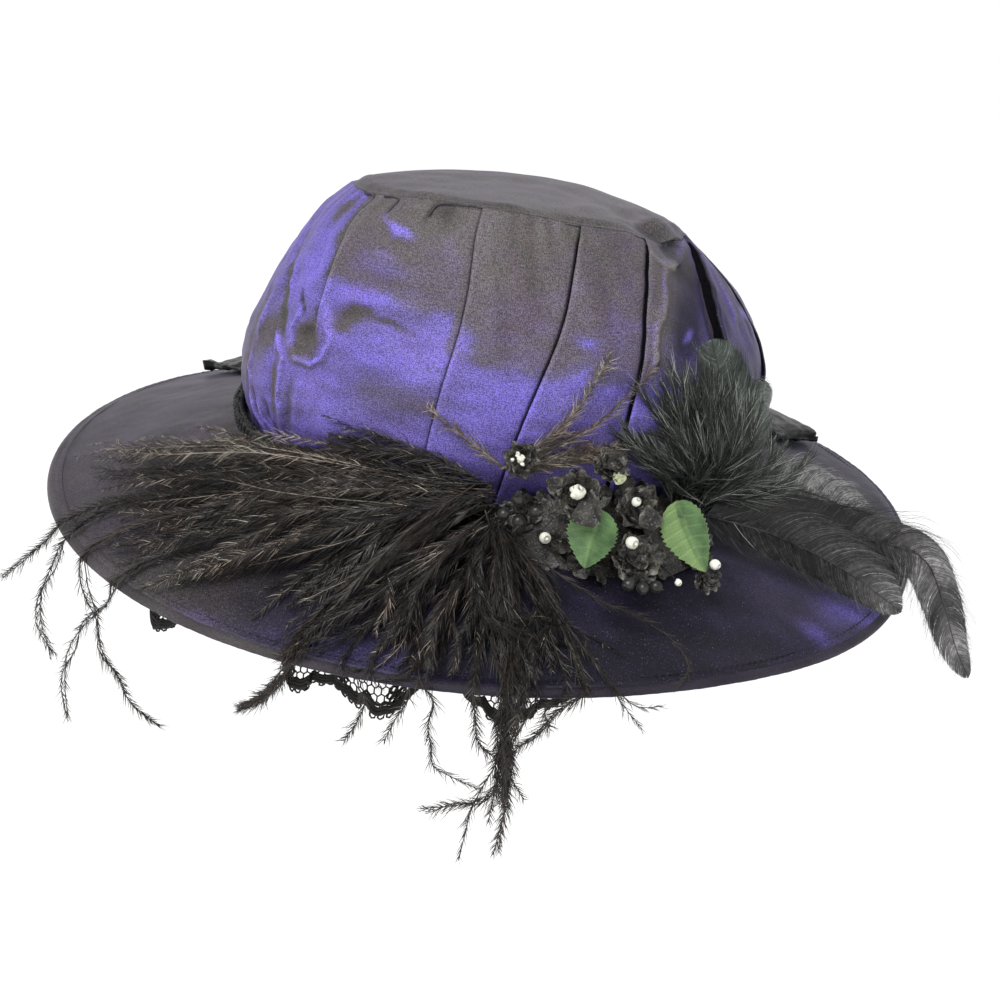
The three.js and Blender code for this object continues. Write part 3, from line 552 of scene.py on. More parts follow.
def colour(red, green, blue):
    """A colour given as it shows on a screen, from 0 to 255, as linear light."""
    values = np.array([red, green, blue]) / 255
    return tuple(np.where(values > 0.04045, ((values + 0.055) / 1.055) ** 2.4, values / 12.92)) + (1.0,)


def taffeta_material():
    """Shot taffeta: threads violet one way and grey-black the other, so it shines violet or grey. Where it
    shows violet or grey is painted sheen, read from the shot attribute; its painted light and shade come from
    the shade attribute, and pale specks of its grain are painted glints.
    """
    s = Shader("taffeta")
    cloth = s.uv("cloth")
    shot = s.attribute("shot")
    shade = s.attribute("shade")
    patches = s.noise(cloth, 60.0, 3.0, 0.6)
    weft = s.noise(s.scaled(cloth, 500.0, 2100.0, 1.0), 1.0, 2.0)
    warp = s.noise(s.scaled(cloth, 2100.0, 500.0, 1.0), 1.0, 2.0)
    grain = s.noise(cloth, 2300.0, 1.0, 0.9)
    threads = s.math("ADD", s.math("ADD", weft, warp), s.math("MULTIPLY", grain, 2.4))
    shot = s.math("ADD", shot, s.spread(patches, 0.3, 0.7, -0.07, 0.07))
    shot = s.math("ADD", shot, s.spread(grain, 0.35, 0.65, -0.1, 0.1))
    base = s.blend(s.spread(shot, 0.0, 0.3), colour(92, 88, 85), colour(89, 81, 91))
    base = s.blend(s.spread(shot, 0.3, 0.6), base, colour(93, 84, 126))
    base = s.blend(s.spread(shot, 0.6, 1.0), base, colour(104, 92, 176))
    base = s.blend(s.spread(patches, 0.5, 0.75, 0.0, 0.2), base, colour(108, 80, 90))
    # Painted light and shade: the shade attribute scales the colour, along with the weave's own lighter and
    # darker threads
    level = s.math("MULTIPLY", shade, s.spread(threads, 1.8, 2.6, 0.4, 1.6))
    base = s.blend(1.0, base, s.add("CombineColor", 0, None, Red=level, Green=level, Blue=level), "MULTIPLY")
    # Painted glints: pale specks where the grain is highest
    base = s.blend(s.spread(grain, 0.68, 0.8, 0.0, 0.45), base, colour(190, 184, 206))
    return s.finish(
        Base_Color=base,
        Roughness=s.spread(grain, 0.3, 0.7, 0.4, 0.56),
        Specular_IOR_Level=0.3,
        Sheen_Weight=0.12,
        Sheen_Roughness=0.4,
        Sheen_Tint=colour(170, 150, 230),
        Normal=s.bump(threads, 0.12, 0.6),
    )


def plain_cloth(name, dark, light, roughness, scale=900.0, depth=0.1, sheen=0.0, shine=0.5):
    """Matt thread or cloth with a fine uneven grain."""
    s = Shader(name)
    grain = s.noise(s.place(), scale, 3.0, 0.6)
    base = s.blend(s.spread(grain, 0.35, 0.65), dark, light)
    return s.finish(
        Base_Color=base,
        Roughness=roughness,
        Specular_IOR_Level=shine,
        Sheen_Weight=sheen,
        Normal=s.bump(grain, depth),
    )


def floor_material():
    """Nearly white paper."""
    s = Shader("floor")
    mottle = s.noise(s.place(), 6.0)
    return s.finish(
        Base_Color=s.blend(s.spread(mottle, 0.3, 0.7), colour(247, 247, 247), colour(250, 250, 250)),
        Roughness=0.9,
    )


TAFFETA = taffeta_material()
# Painted shadow: near-black, barely shiny cloth on the faces deep in the folds, where only shade falls
FOLD_SHADOW = plain_cloth("fold_shadow", colour(5, 5, 7), colour(16, 14, 20), 0.9, shine=0.05)
# The gather lines' near-black cloth: black stitches and painted shadow
EDGE = plain_cloth("edge", colour(20, 18, 26), colour(44, 40, 56), 0.5, sheen=0.2)
BRAID = plain_cloth("braid", colour(10, 12, 10), colour(34, 38, 32), 0.6)
LACE = plain_cloth("lace", colour(9, 8, 7), colour(30, 27, 24), 0.75)


# Crown

def tuck_angles(height):
    """Angle of each folded edge at the given heights, one row for each tuck."""
    keys = np.array([0, 0.6, 0.82, 1]) * SEAM_HEIGHT
    columns = (TUCKS[name] for name in ("low", "middle", "high", "top"))
    return np.array([smooth(keys, np.array(row), height) for row in zip(*columns)])


# Across a fold: millimetres along the cloth from the folded edge, and how far out as a share of the step; the
# shade is painted shade deep in the fold and a painted highlight on the folded edge
FOLD = table(
    "along deep proud shade",
    (-2.6, -0.05, 0.0, 1.0),
    (-1.3, -0.2, 0.0, 0.92),
    (-0.65, -0.4, 0.0, 0.3),
    (-0.05, -0.7, 0.0, 0.05),
    (0.35, -0.75, 0.0, 0.04),
    (0.35, -0.3, 0.1, 0.04),
    (0.1, 0.0, 0.4, 0.08),
    (-0.25, 0.0, 0.75, 0.35),
    (-0.1, 0.0, 1.0, 1.25),
    (0.45, 0.0, 1.1, 1.3),
    (1.5, 0.0, 1.0, 1.06),
)
# Columns of points over each panel: more where the photo shows it
PANEL_COLUMNS = (34, 48, 48, 54, 54, 50, 50, 34, 16, 16, 16, 16, 16, 24)


def crease_places(angle, height, column, firm=2.0):
    """For each crease, how near points are to it (0 to 1) and its value in a column of the table."""
    columns = ("angle0", "height0", "angle1", "height1", "width", column)
    for a0, h0, a1, h1, width, value in zip(*(CREASES[name] for name in columns)):
        x = arc_of(wrapped(angle - a0))
        y = height - h0
        dx = arc_of(a1 - a0)
        dy = h1 - h0
        part = np.clip((x * dx + y * dy) / (dx * dx + dy * dy), 0, 1)
        away = np.hypot(x - part * dx, y - part * dy)
        yield np.exp(-((away / width) ** firm)) * (0.35 + 0.65 * np.sin(np.pi * part)), value


def unevenly(angle, height, size):
    """Places moved a little to and fro, so that lines and edges drawn there wander."""
    arc = arc_of(angle)
    sideways = 0.7 * ripple(arc, height * 2.2, 12, 15) + 0.3 * ripple(arc, height * 2.2, 5, 16)
    upward = 1.0 * ripple(arc * 0.5, height * 1.5, 9, 17) + 0.5 * ripple(arc * 0.6, height * 2, 4, 18)
    return angle + size * sideways, height + size * upward


def crease_height(angle, height):
    """How far the creases raise the cloth or press it in."""
    total = np.zeros(np.shape(height))
    for near, rise in crease_places(*unevenly(angle, height, 0.45), "rise"):
        total += rise * near
    return total


def patch_values(angle, height):
    """How far the patches and creases change the violet and the lightness of the cloth, as painted sheen and
    painted light and shade.
    """
    shot = shade = 0
    uneven_angle, uneven_height = unevenly(angle, height, 1.0)
    for angle0, height0, wide, high, more_shot, more_shade in zip(*PATCHES.values()):
        x = arc_of(wrapped(uneven_angle - angle0)) / wide
        y = (uneven_height - height0) / high
        near = np.exp(-((x * x + y * y) ** 1.6))
        shot = shot + more_shot * near
        shade = shade + more_shade * near
    for near, more_shot in crease_places(uneven_angle, uneven_height, "shot", 3.0):
        shot = shot + more_shot * near
    for near, more_shade in crease_places(*unevenly(angle, height, 0.45), "shade", 2.6):
        shade = shade + more_shade * near
    return shot, shade


LEFT_FRONT = -142


def crown_relief(angle, height):
    """Wrinkles, gathers and creases of the cloth on the side of the crown."""
    arc = arc_of(angle)
    out = 0.7 * ripple(arc, height, 36, 1) + 0.3 * ripple(arc, height * 0.5, 11, 2)
    out += 0.16 * ripple(arc * 0.5, height, 9, 5)
    near_seam = np.exp(-np.maximum(0, SEAM_HEIGHT - height) / 8)
    out += 0.45 * near_seam * ripple(arc, height * 0.1, 9, 3)
    left = ease(np.abs(wrapped(angle - LEFT_FRONT)), 26, 14)
    out += (0.25 + 1.1 * left) * np.exp(-height / 12) * ripple(arc, height * 0.15, 6, 4)
    return out + crease_height(angle, height)


def cloth_slope(angle, height):
    """How steeply the relief rises along the cloth and up it: this turns the shot colour of the cloth, and
    from it the sheen and the light and shade are painted by slope.
    """
    step = 0.6
    turn = np.degrees(step / CROWN_RADIUS)
    along = (crown_relief(angle + turn, height) - crown_relief(angle - turn, height)) / (2 * step)
    upward = (crown_relief(angle, height + step) - crown_relief(angle, height - step)) / (2 * step)
    return along, upward


SIDE_FOOT = 0.3
SIDE_ROWS = 124
INNER_ROWS = 8
DEGREES_PER_RADIAN = 57.3


def violet_share(angle, height, turn, grey, along):
    """How violet a line of points up the side is: violet below, and greyer above an uneven edge, as the shot
    cloth's painted sheen.
    """
    arc = arc_of(angle)
    edge = turn + 1.0 * ripple(arc, height * 0.3, 30, 11) + 0.5 * ripple(arc, height, 7, 12) - 0.06 * along
    above = ease(height, edge - 2, edge + 2.6)
    greyer = 0.5 + 0.3 * ease(height, turn, SEAM_HEIGHT)
    patch = ripple(arc * 0.6, height * 1.8, 22, 13) * 0.6 + ripple(arc * 0.5, height * 2.5, 9, 14) * 0.4
    return 0.86 - grey * greyer * above + 0.1 * patch


def tuck_state(i, height):
    """How fully a tuck is there at each height, from 0 to 1, and how far it gapes."""
    start = TUCKS["start"][i]
    alive = ease(height, start - 3, start + 6) if start else np.ones(len(height))
    alive = alive * (1 - 0.5 * ease(height, 0.93 * SEAM_HEIGHT, SEAM_HEIGHT))
    part = np.clip((height - start) / (SEAM_HEIGHT - start), 0, 1)
    return alive, TUCKS["gape"][i] * np.sin(np.pi * part) ** 0.7


def side_lines(height):
    """Lines of points up the side, in order round it: over each fold, then over the panel after it."""
    lines = {"angle": [], "out": [], "shot": [], "shade": [], "inside": []}
    half_x, half_y = (smooth(CROWN["height"], CROWN[name], height) for name in ("half_x", "half_y"))
    degrees = DEGREES_PER_RADIAN / np.sqrt(half_x * half_y)
    angles = tuck_angles(height)
    for i in range(len(angles)):
        here = angles[i]
        following = (i + 1) % len(angles)
        after = angles[following] + (0 if following else 360)
        step = TUCKS["step"][i]
        alive, open_up = tuck_state(i, height)

        def put(angle, out, shade, along, inside):
            shot = violet_share(angle, height, TUCKS["turn"][i], TUCKS["grey"][i], along)
            more_shot, more_shade = patch_values(angle, height)
            lines["angle"].append(angle)
            lines["out"].append(out)
            lines["shot"].append(shot + more_shot)
            lines["shade"].append(shade * np.maximum(0.1, 1 + more_shade))
            lines["inside"].append(inside * alive)

        for along, deep, proud, shade in zip(*FOLD.values()):
            wider = 1 + 0.65 * open_up if along < 0 and proud == 0 else 1
            angle = here + along * degrees * wider
            out = alive * (step * proud + deep * (1 + 1.4 * open_up) + (open_up * 0.5 if proud else 0))
            # Painted shade: the fold darker still where its tuck gapes open
            darker = 1 - 0.8 * np.minimum(1, open_up / 1.5) if shade < 0.5 else 1
            put(angle, out, mix(1.0, shade * darker, alive), 0, shade < 0.2)
        width = (after - here) / degrees
        next_gape = TUCKS["gape"][following]
        for part in np.linspace(0, 1, PANEL_COLUMNS[i] + 2)[1:-1]:
            angle = mix(here + 1.5 * degrees, after - 2.6 * (1 + next_gape) * degrees, part)
            along = part * width
            out = alive * (step + open_up * 0.5) * np.exp(-along / 8) + 0.7 * np.sin(np.pi * part) ** 1.5
            put(angle, out, 1.0, along, 0)
    return {name: np.array(rows).T for name, rows in lines.items()}


def inner_wall(angle, height):
    """The inner surface of the side, from its seam down: its points and their places on the cloth."""
    inner_height = np.linspace(SEAM_HEIGHT - 0.4, SIDE_FOOT, INNER_ROWS)[:, None]
    inner_angle = np.array([np.interp(inner_height[:, 0], height, line) for line in angle.T]).T
    inner_height = inner_height + 0 * inner_angle
    thickness = (CLOTH + 0.5) * (1 + 0.5 * (inner_height / SEAM_HEIGHT) ** 2)
    points = crown_point(inner_angle, inner_height, -thickness)
    return points, np.stack([arc_of(inner_angle), 220 - inner_height], -1) * MM


def deep_in_fold(inside):
    """Which faces of the side lie deep inside a fold, from how far each of its points does."""
    rows, columns = inside.shape
    every = np.zeros((rows + INNER_ROWS, columns))
    every[:rows] = inside
    every = np.minimum(every, np.roll(every, -1, 1))
    return np.minimum(every[:-1], every[1:]).ravel() > 0.6


def crown_side():
    """The tucked side of the crown: its folded and creased outside, its inner wall, and dark tubes for the
    black stitches and painted shadow of its gathers.
    """
    height = SIDE_FOOT + (SEAM_HEIGHT - SIDE_FOOT) * np.linspace(0, 1, SIDE_ROWS) ** 0.93
    lines = side_lines(height)
    angle = lines["angle"]
    level = np.broadcast_to(height[:, None], angle.shape)
    points = crown_point(angle, level, lines["out"] + crown_relief(angle, level))
    along, upward = cloth_slope(angle, level)
    # Painted sheen and light by slope: the violet and the lightness change with how the relief slopes; the
    # cloth is painted darker near its foot, as shade in the corner with the brim
    shot = np.clip(lines["shot"] - 0.5 * upward + 0.2 * along, 0.0, 1.1)
    shade = lines["shade"] * (1 - 0.25 * ease(level, 8, 0))
    shade = np.clip(shade * (1 + 0.5 * np.clip(along - upward, -0.5, 0.5)), 0.02, 2.0)
    cloth = np.stack([arc_of(angle), level], -1) * MM
    inner, inner_cloth = inner_wall(angle, height)
    inner_count = inner.size // 3
    rows = SIDE_ROWS + INNER_ROWS
    columns = angle.shape[1]
    faces = grid_faces(rows, columns, True)
    deep = deep_in_fold(lines["inside"])
    build = Build()
    # Faces deep in the folds take the painted fold shadow; the inner wall is painted darker (shade 0.5), as
    # shade inside the crown
    build.add(
        np.concatenate([points.reshape(-1, 3), inner.reshape(-1, 3)]),
        [faces[~deep], closing_faces(rows, columns), faces[deep]],
        mark=(0, 0, 2),
        cloth=np.concatenate([cloth.reshape(-1, 2), inner_cloth.reshape(-1, 2)]),
        shot=np.concatenate([shot.ravel(), np.full(inner_count, 0.3)]),
        shade=np.concatenate([shade.ravel(), np.full(inner_count, 0.5)]),
    )
    for line in GATHERS:
        turn, high = spline(np.array([(*point, 0) for point in line]), 16)[:, :2].T
        path = crown_point(turn, high, crown_relief(turn, high) + 1.2)
        points, faces = tubes(path[None], 0.42 * np.linspace(1, 0.3, 16)[None], 5)
        build.add(points, faces, mark=1, cloth=np.zeros((len(points), 2)), shot=0.0, shade=0.0)
    piece = dress(build, "crown_side_cloth", "crown_side", "taffeta", TAFFETA, EDGE, FOLD_SHADOW)
    return piece


def tip_relief(x, y, part, angle):
    """Soft waves of the tip, its seam's gathers, the pinched corner and the hollow beside it."""
    out = 0.9 * ripple(x, y, 60, 21) + 0.25 * ripple(x, y, 16, 22)
    out += 0.35 * ease(part, 0.8, 1) * ripple(arc_of(angle, TIP_RADIUS), 0 * x, 9, 23)
    corner = np.exp(-(((x - 55) / 8) ** 2 + ((y + 22) / 8) ** 2))
    hollow = np.exp(-(((x - 49) / 6) ** 2 + ((y + 33) / 4) ** 2))
    fold = np.exp(-(((x - 14 - 0.7 * (y + 52)) / 5) ** 2)) * ease(y, -56, -40) * ease(y, 10, -10)
    ridge = np.exp(-(((x - 44 - 0.75 * (y + 30)) / 3.2) ** 2)) * ease(y, -46, -34) * ease(y, 4, -12)
    return out + 3.4 * corner - 2.0 * hollow + 0.8 * fold + 1.1 * ridge


LOWER_RINGS = 10


def crown_tip():
    """The domed top panel: its upper surface, its sewn edge and its lower surface."""
    columns = 240
    rings = 46
    angle = np.linspace(-180, 180, columns, endpoint=False)[None, :]
    part = np.sin(np.linspace(1, 0.012, rings) * np.pi / 2)[:, None] ** 0.9

    def surface(scale, wall):
        turn = np.radians(angle)
        x = TIP_HALF[0] * scale * np.cos(turn)
        y = TIP_HALF[1] * scale * np.sin(turn)
        rise = TIP_BULGE * (1 - scale ** 2) + smooth_round(SEAM_RISE, angle, "rise") * scale ** 2
        z = SEAM_HEIGHT + SEAM_GAP + rise + wall
        return np.stack([x + 0 * z, y + 0 * z, z], -1)

    upper = surface(part, CLOTH * (0.1 + 0.9 * ease(1 - part, 0, 0.07)))
    relief = tip_relief(upper[..., 0], upper[..., 1], part, angle)
    roll = 0.25 * np.exp(-(((1 - part) * 62 - 1.6) / 0.9) ** 2)
    upper[..., 2] += (relief + roll) * ease(1 - part, -0.03, 0.06)
    edge = crown_point(angle, SEAM_HEIGHT - 0.5, crown_relief(angle, SEAM_HEIGHT - 0.5 + 0 * angle) + 0.25)
    lower = surface(np.linspace(1, 0.02, LOWER_RINGS)[::-1, None], 0)
    points = np.concatenate([lower, edge, upper])
    rows = len(points)
    x, y = points[..., 0], points[..., 1]
    # Painted light and shade on the tip: lighter streaks and a lighter band of sheen, darker towards the
    # back, in the hollow and past the pinched corner, and the lower surface darker still
    streak = ripple(x, y, 26, 24)
    patch = ripple(x * 0.6, y * 2.2, 22, 25)
    hollow = np.exp(-(((x - 50) / 5) ** 2 + ((y + 32.5) / 3) ** 2))
    beyond = ease(x, 40, 58) * ease(y, -26, -8)
    band = np.exp(-(((y + 38 - 0.15 * x) / 4) ** 2)) * ease(x, 30, 0)
    shot = np.clip(0.02 + 0.08 * patch, 0, 1)
    shade = 0.69 + 0.1 * streak - 0.12 * ease(y, 0, 40) - 0.3 * hollow - 0.28 * beyond + 0.1 * band
    shade[:LOWER_RINGS] *= 0.5
    flat = points.reshape(-1, 3)
    first_and_last = (flat[:columns], flat[-columns:])
    centres = np.array([[ring[:, axis].mean() for axis in range(3)] for ring in first_and_last])
    j = np.arange(columns)
    k = (j + 1) % columns
    last = (rows - 1) * columns
    below = np.stack([k, j, np.full(columns, rows * columns)], -1)
    top = np.stack([j + last, k + last, np.full(columns, rows * columns + 1)], -1)
    every = np.concatenate([flat, centres])
    build = Build()
    build.add(
        every,
        [grid_faces(rows, columns, True), below, top],
        cloth=every[:, :2] * (MM, 0.45 * MM),
        shot=np.append(shot.ravel(), [0.1, 0.1]),
        shade=np.append(shade.ravel(), [0.5, 1.0]),
    )
    piece = dress(build, "crown_tip_cloth", "crown_tip", "taffeta", TAFFETA)
    return piece


# Brim

ROLL_WIDTH = 4.5


def brim_relief(x, y, across):
    """Soft waves of the brim, which end at the crown and at the rolled edge."""
    waves = 0.8 * ripple(x, y, 90, 31) + 0.3 * ripple(x, y, 24, 32) + 0.1 * ripple(x, y, 8, 33)
    return waves * ease(across, 0, 0.15) * ease(across, 1.0, 0.9)


# Patches of the brim: angle and place across, how far they reach round and across, and how much they change
# the violet and the lightness of the cloth, as painted sheen, painted highlights and painted shade
BRIM_PATCHES = table(
    "angle across round deep shot shade",
    (-29, 0.87, 3.6, 0.16, 0.5, 0.5),
    (-34, 0.84, 5, 0.1, 0.3, 0.2),
    (-41.5, 0.87, 1.6, 0.08, 0.35, 0.26),
    (8, 0.3, 22, 0.35, -0.25, 0.06),
    (10, 0.8, 32, 0.5, -0.35, -0.16),
    (-100, 0.88, 8, 0.1, 0.1, 0.13),
    (-111, 0.93, 7, 0.06, 0.05, 0.15),
    (-122, 0.95, 5, 0.05, 0.3, 0.22),
    (-140, 0.95, 12, 0.05, -0.1, 0.18),
    (-165, 0.3, 16, 0.1, 0.1, 0.08),
    (-172, 0.62, 14, 0.06, 0.05, 0.07),
)


def brim_colour(x, y, angle, across):
    """Violet on the right, dark navy in front and nearly black on the left, with faint bands and patches: the
    shot cloth's painted sheen and painted light, shade and reflection, set by place round the brim.
    """
    turned = wrapped(angle)
    violet = ease(turned, -126, -106) * ease(turned, 60, 20)
    front = ease(turned, -128, -108) * ease(turned, -30, -62)
    back = ease(np.abs(turned - 120), 40, 10)
    band = ripple(x * 0.4, y * 2, 46, 34)
    shot = 0.16 + 0.5 * violet + 0.35 * back + 0.1 * band
    shade = 0.45 - 0.23 * violet - 0.17 * front
    shade = shade + 0.06 * ripple(x, y * 1.4, 34, 35) + 0.03 * ripple(x, y, 11, 36)
    for angle0, across0, round_reach, deep, more_shot, more_shade in zip(*BRIM_PATCHES.values()):
        away = wrapped(turned - angle0) / round_reach
        near = np.exp(-((away ** 2 + ((across - across0) / deep) ** 2) ** 1.2))
        shot = shot + more_shot * near
        shade = shade + more_shade * near
    return np.clip(shot, 0.0, 1.1), np.clip(shade, 0.06, 1)


UPPER_ROWS = 64
LOWER_ROWS = 22


def brim_cloth():
    """The brim's two layers, joined at both edges."""
    columns = 360
    angle = np.linspace(90, 450, columns, endpoint=False)[None, :]
    inner = -across_of(CLOTH + 0.3)
    outer = 1 - across_of(ROLL_WIDTH - 1.6)
    upper_across = np.linspace(inner, outer, UPPER_ROWS)[:, None]
    lower_across = np.linspace(outer, inner, LOWER_ROWS)[:, None]
    upper = brim_point(angle, upper_across)
    upper[..., 2] += brim_relief(upper[..., 0], upper[..., 1], upper_across)
    lower = brim_point(angle, lower_across, -BRIM_THICKNESS)
    lower[..., 2] += brim_relief(lower[..., 0], lower[..., 1], lower_across)
    points = np.concatenate([upper, lower])
    rows = len(points)
    x, y = points[..., 0], points[..., 1]
    across = np.concatenate([upper_across, lower_across])
    shot, shade = brim_colour(x, y, np.broadcast_to(angle, x.shape), across)
    # The lower layer painted darker, as shade under the brim
    shade[UPPER_ROWS:] *= 0.7
    build = Build()
    build.add(
        points,
        [grid_faces(rows, columns, True), closing_faces(rows, columns)],
        cloth=np.stack([x, y], -1).reshape(-1, 2) * (MM, 0.5 * MM),
        shot=shot.ravel(),
        shade=shade.ravel(),
    )
    piece = dress(build, "brim_cloth", "brim", "taffeta", TAFFETA)
    return piece


def rolled_edge():
    """The rolled edge, puckered a little between its stitches, and a row of topstitching inside it."""
    columns = 540
    angle = np.linspace(90, 450, columns, endpoint=False)[:, None]
    inner = 1 - across_of(ROLL_WIDTH - 0.3)
    turn = np.linspace(0, 2 * np.pi, 10, endpoint=False)[None, :]
    middle = (inner + 1) / 2
    reach = (1 - inner) / 2
    arc = arc_of(angle, RIM_RADIUS)
    pucker = 0.12 * np.sin(np.radians(angle) * 200) + 0.15 * ripple(arc, 0 * angle, 14, 41)
    across = middle + reach * np.cos(turn) * (1 + 0.05 * pucker)
    above = -BRIM_THICKNESS / 2 + (1.55 + pucker) * np.sin(turn) * (0.62 + 0.38 * np.cos(turn - 0.6) ** 2)
    points = brim_point(np.broadcast_to(angle, across.shape), across, above)
    build = Build()
    # Painted shade and reflection: the roll dark in front and lighter grey on the left
    turned = wrapped(np.broadcast_to(angle, across.shape))
    front = ease(turned, -116, -94) * ease(turned, 110, 60)
    shade = mix(0.56, 0.17, front) * (1 + 0.25 * ripple(arc, 0 * angle, 23, 42))
    build.add(
        points,
        [ring_faces(columns, turn.size, True)],
        cloth=np.stack([points[..., 0], points[..., 1] + 3 * points[..., 2]], -1).reshape(-1, 2) * MM,
        shot=(0.1 + 0.3 * front).ravel(),
        shade=shade.ravel(),
    )
    stitches = 400
    at = np.linspace(90, 450, stitches, endpoint=False)[:, None] + np.linspace(-0.28, 0.28, 5)[None, :]
    lift = 0.15 + 0.25 * np.cos(np.linspace(-1.4, 1.4, 5))[None, :]
    path = brim_point(at, 1 - across_of(5.6) + 0 * at, lift)
    thread, faces = tubes(path, 0.2, 4)
    # The topstitching painted near black in front and a dim grey elsewhere, as the light shows it against the
    # brim
    turned = wrapped(np.degrees(np.arctan2(thread[:, 1], thread[:, 0])))
    black = ease(turned, -125, -100) * ease(turned, 60, 0)
    build.add(thread, faces, cloth=thread[:, :2] * MM, shot=0.1, shade=mix(0.5, 0.05, black))
    return dress(build, "brim_rolled_edge_cloth", "brim_rolled_edge", "edge", TAFFETA)


# Braid and lace

def braid():
    """Knobbly three-strand plait in the corner between crown and brim, with small loops along both edges."""
    build = Build()
    pitches = 50
    angle = np.linspace(-180, 180, 1100, endpoint=False)
    phase = np.radians(angle) * pitches

    def at(angle, wide, deep):
        out = 6.7 + 0.22 * wide + deep * 0.97
        return brim_point(angle, across_of(out), 5.0 + 0.97 * wide - 0.22 * deep)

    wobble = 0.3 * ripple(arc_of(angle, 100), 0 * angle, 7, 51)
    for strand in range(3):
        turn = phase + 2 * np.pi * strand / 3
        path = at(angle, 2.9 * np.sin(turn) + wobble, 0.8 * np.sin(2 * turn))
        radius = 1.55 + 0.38 * np.sin(np.radians(angle) * 350 + 2 * strand)
        build.add(*tubes(path[None], radius[None], 5, closed=True))
    loops = 190
    round_loop = np.linspace(0, 2 * np.pi, 8, endpoint=False)[None, :]
    for edge, shift in ((3.6, 0.0), (-3.4, 0.5)):
        middle = (np.arange(loops)[:, None] + shift) * 360 / loops
        size = rng.uniform(1.1, 1.6, (loops, 1))
        deep = rng.uniform(-0.6, 0.9, (loops, 1))
        path = at(middle + size * 0.6 * np.cos(round_loop), edge + size * np.sin(round_loop), deep)
        build.add(*tubes(path, 0.5, 3, closed=True))
    return dress(build, "crown_braid_plait", "crown_braid", "braid", BRAID)


LACE_HANG = table(
    "angle drop tuck",
    (-180, 12, 9),
    (-150, 12, 8),
    (-142, 12, 6),
    (-136, 9, 8),
    (-129.5, 13.5, 1),
    (-123, 8, 8),
    (-117, 9, 3),
    (-113.5, 9, 7),
    (-109, 17.5, 1),
    (-104.5, 13, 4),
    (-98.5, 19.5, 0.5),
    (-92, 11, 8),
    (-85.5, 18, 1),
    (-76, 10, 6),
    (-60, 9, 6),
    (-45, 7, 9),
    (0, 9, 9),
    (60, 13, 4),
    (120, 13, 4),
    (180, 12, 9),
)
LACE_LENGTH = 1080.0
LACE_DEPTH = 15.0
SCALLOPS = 54

# The ring flowers: how far down the lace their middles lie, and how far out their petals
FLOWER_DEPTH = 9.4
FLOWER_RADIUS = 1.9


def lace_point(along, down, lift=0.0):
    """A point of the lace from its flat place: millimetres along the strip and down it."""
    angle = along / LACE_LENGTH * 360
    part = down / LACE_DEPTH
    drop = smooth_round(LACE_HANG, angle, "drop") * part
    tuck = smooth_round(LACE_HANG, angle, "tuck") * part
    wave = 2.2 * part * np.cos(np.radians(angle) * 14) + 0.5 * part * ripple(along, 0 * along, 17, 61)
    inset = 9 + tuck - wave + 0.5 + lift
    return brim_point(angle, 1 - across_of(inset), -BRIM_THICKNESS - 0.8 - drop)


def scallop_edge(along):
    """How far down the lace's scalloped edge lies at a place along it."""
    turn = np.pi * along / LACE_LENGTH * SCALLOPS
    return LACE_DEPTH - 4.2 + 3.4 * np.abs(np.sin(turn)) ** 0.7 + 1.1 * np.abs(np.sin(3 * turn)) ** 0.8


def lace():
    """Gathered lace: hexagon net, a band along its top, ring flowers and a scalloped cord with loops."""
    build = Build()
    cell = 2.5
    columns = int(LACE_LENGTH / cell)
    width = LACE_LENGTH / columns
    tall = width / 3 ** 0.5
    rows = int(LACE_DEPTH / (1.5 * tall)) + 1
    i, j = np.meshgrid(np.arange(columns), np.arange(rows), indexing="ij")
    x = (i + 0.5 * (j % 2)) * width
    y = 1.5 + j * 1.5 * tall
    top = (0, -tall)
    right = (width / 2, -tall / 2)
    low = (width / 2, tall / 2)
    left = (-width / 2, -tall / 2)
    for corners in ((top, right), (right, low), (top, left)):
        ends = [np.stack([x + along, y + down], -1).reshape(-1, 2) for along, down in corners]
        middle = (ends[0] + ends[1]) / 2
        keep = middle[:, 1] < scallop_edge(middle[:, 0]) - 0.2
        path = np.stack([lace_point(end[keep, 0], end[keep, 1]) for end in ends], 1)
        build.add(*tubes(path, 0.31, 3))
    fine = np.linspace(0, LACE_LENGTH, 1500, endpoint=False)
    for down, radius in ((0.3, 0.6), (1.5, 0.5), (2.6, 0.45)):
        build.add(*tubes(lace_point(fine, 0 * fine + down)[None], radius, 3, closed=True))
    for inside, radius in ((0.0, 1.0), (1.3, 0.8), (2.5, 0.6)):
        build.add(*tubes(lace_point(fine, scallop_edge(fine) - inside)[None], radius, 4, closed=True))
    picots = 380
    turn = np.linspace(0, 2 * np.pi, 7, endpoint=False)[None, :]
    middle = (np.arange(picots)[:, None] + 0.5) * LACE_LENGTH / picots
    path = lace_point(middle + 1.15 * np.cos(turn), scallop_edge(middle) + 0.7 + 1.1 * np.sin(turn))
    build.add(*tubes(path, 0.42, 3, closed=True))
    petal = np.arange(6)[:, None] * np.pi / 3
    for scallop in range(SCALLOPS):
        centre = (scallop + 0.5) * LACE_LENGTH / SCALLOPS
        across = centre + FLOWER_RADIUS * np.cos(petal) + 0.95 * np.cos(turn)
        depth = FLOWER_DEPTH + FLOWER_RADIUS * np.sin(petal) + 0.95 * np.sin(turn)
        build.add(*tubes(lace_point(across, depth, -0.3), 0.55, 3, closed=True))
        eye = lace_point(centre + 0.5 * np.cos(turn), FLOWER_DEPTH + 0.5 * np.sin(turn), -0.4)
        build.add(*tubes(eye, 0.5, 3, closed=True))
    piece = dress(build, "lace_ruffle_net", "lace_ruffle", "lace", LACE)
    return piece


# Feathers

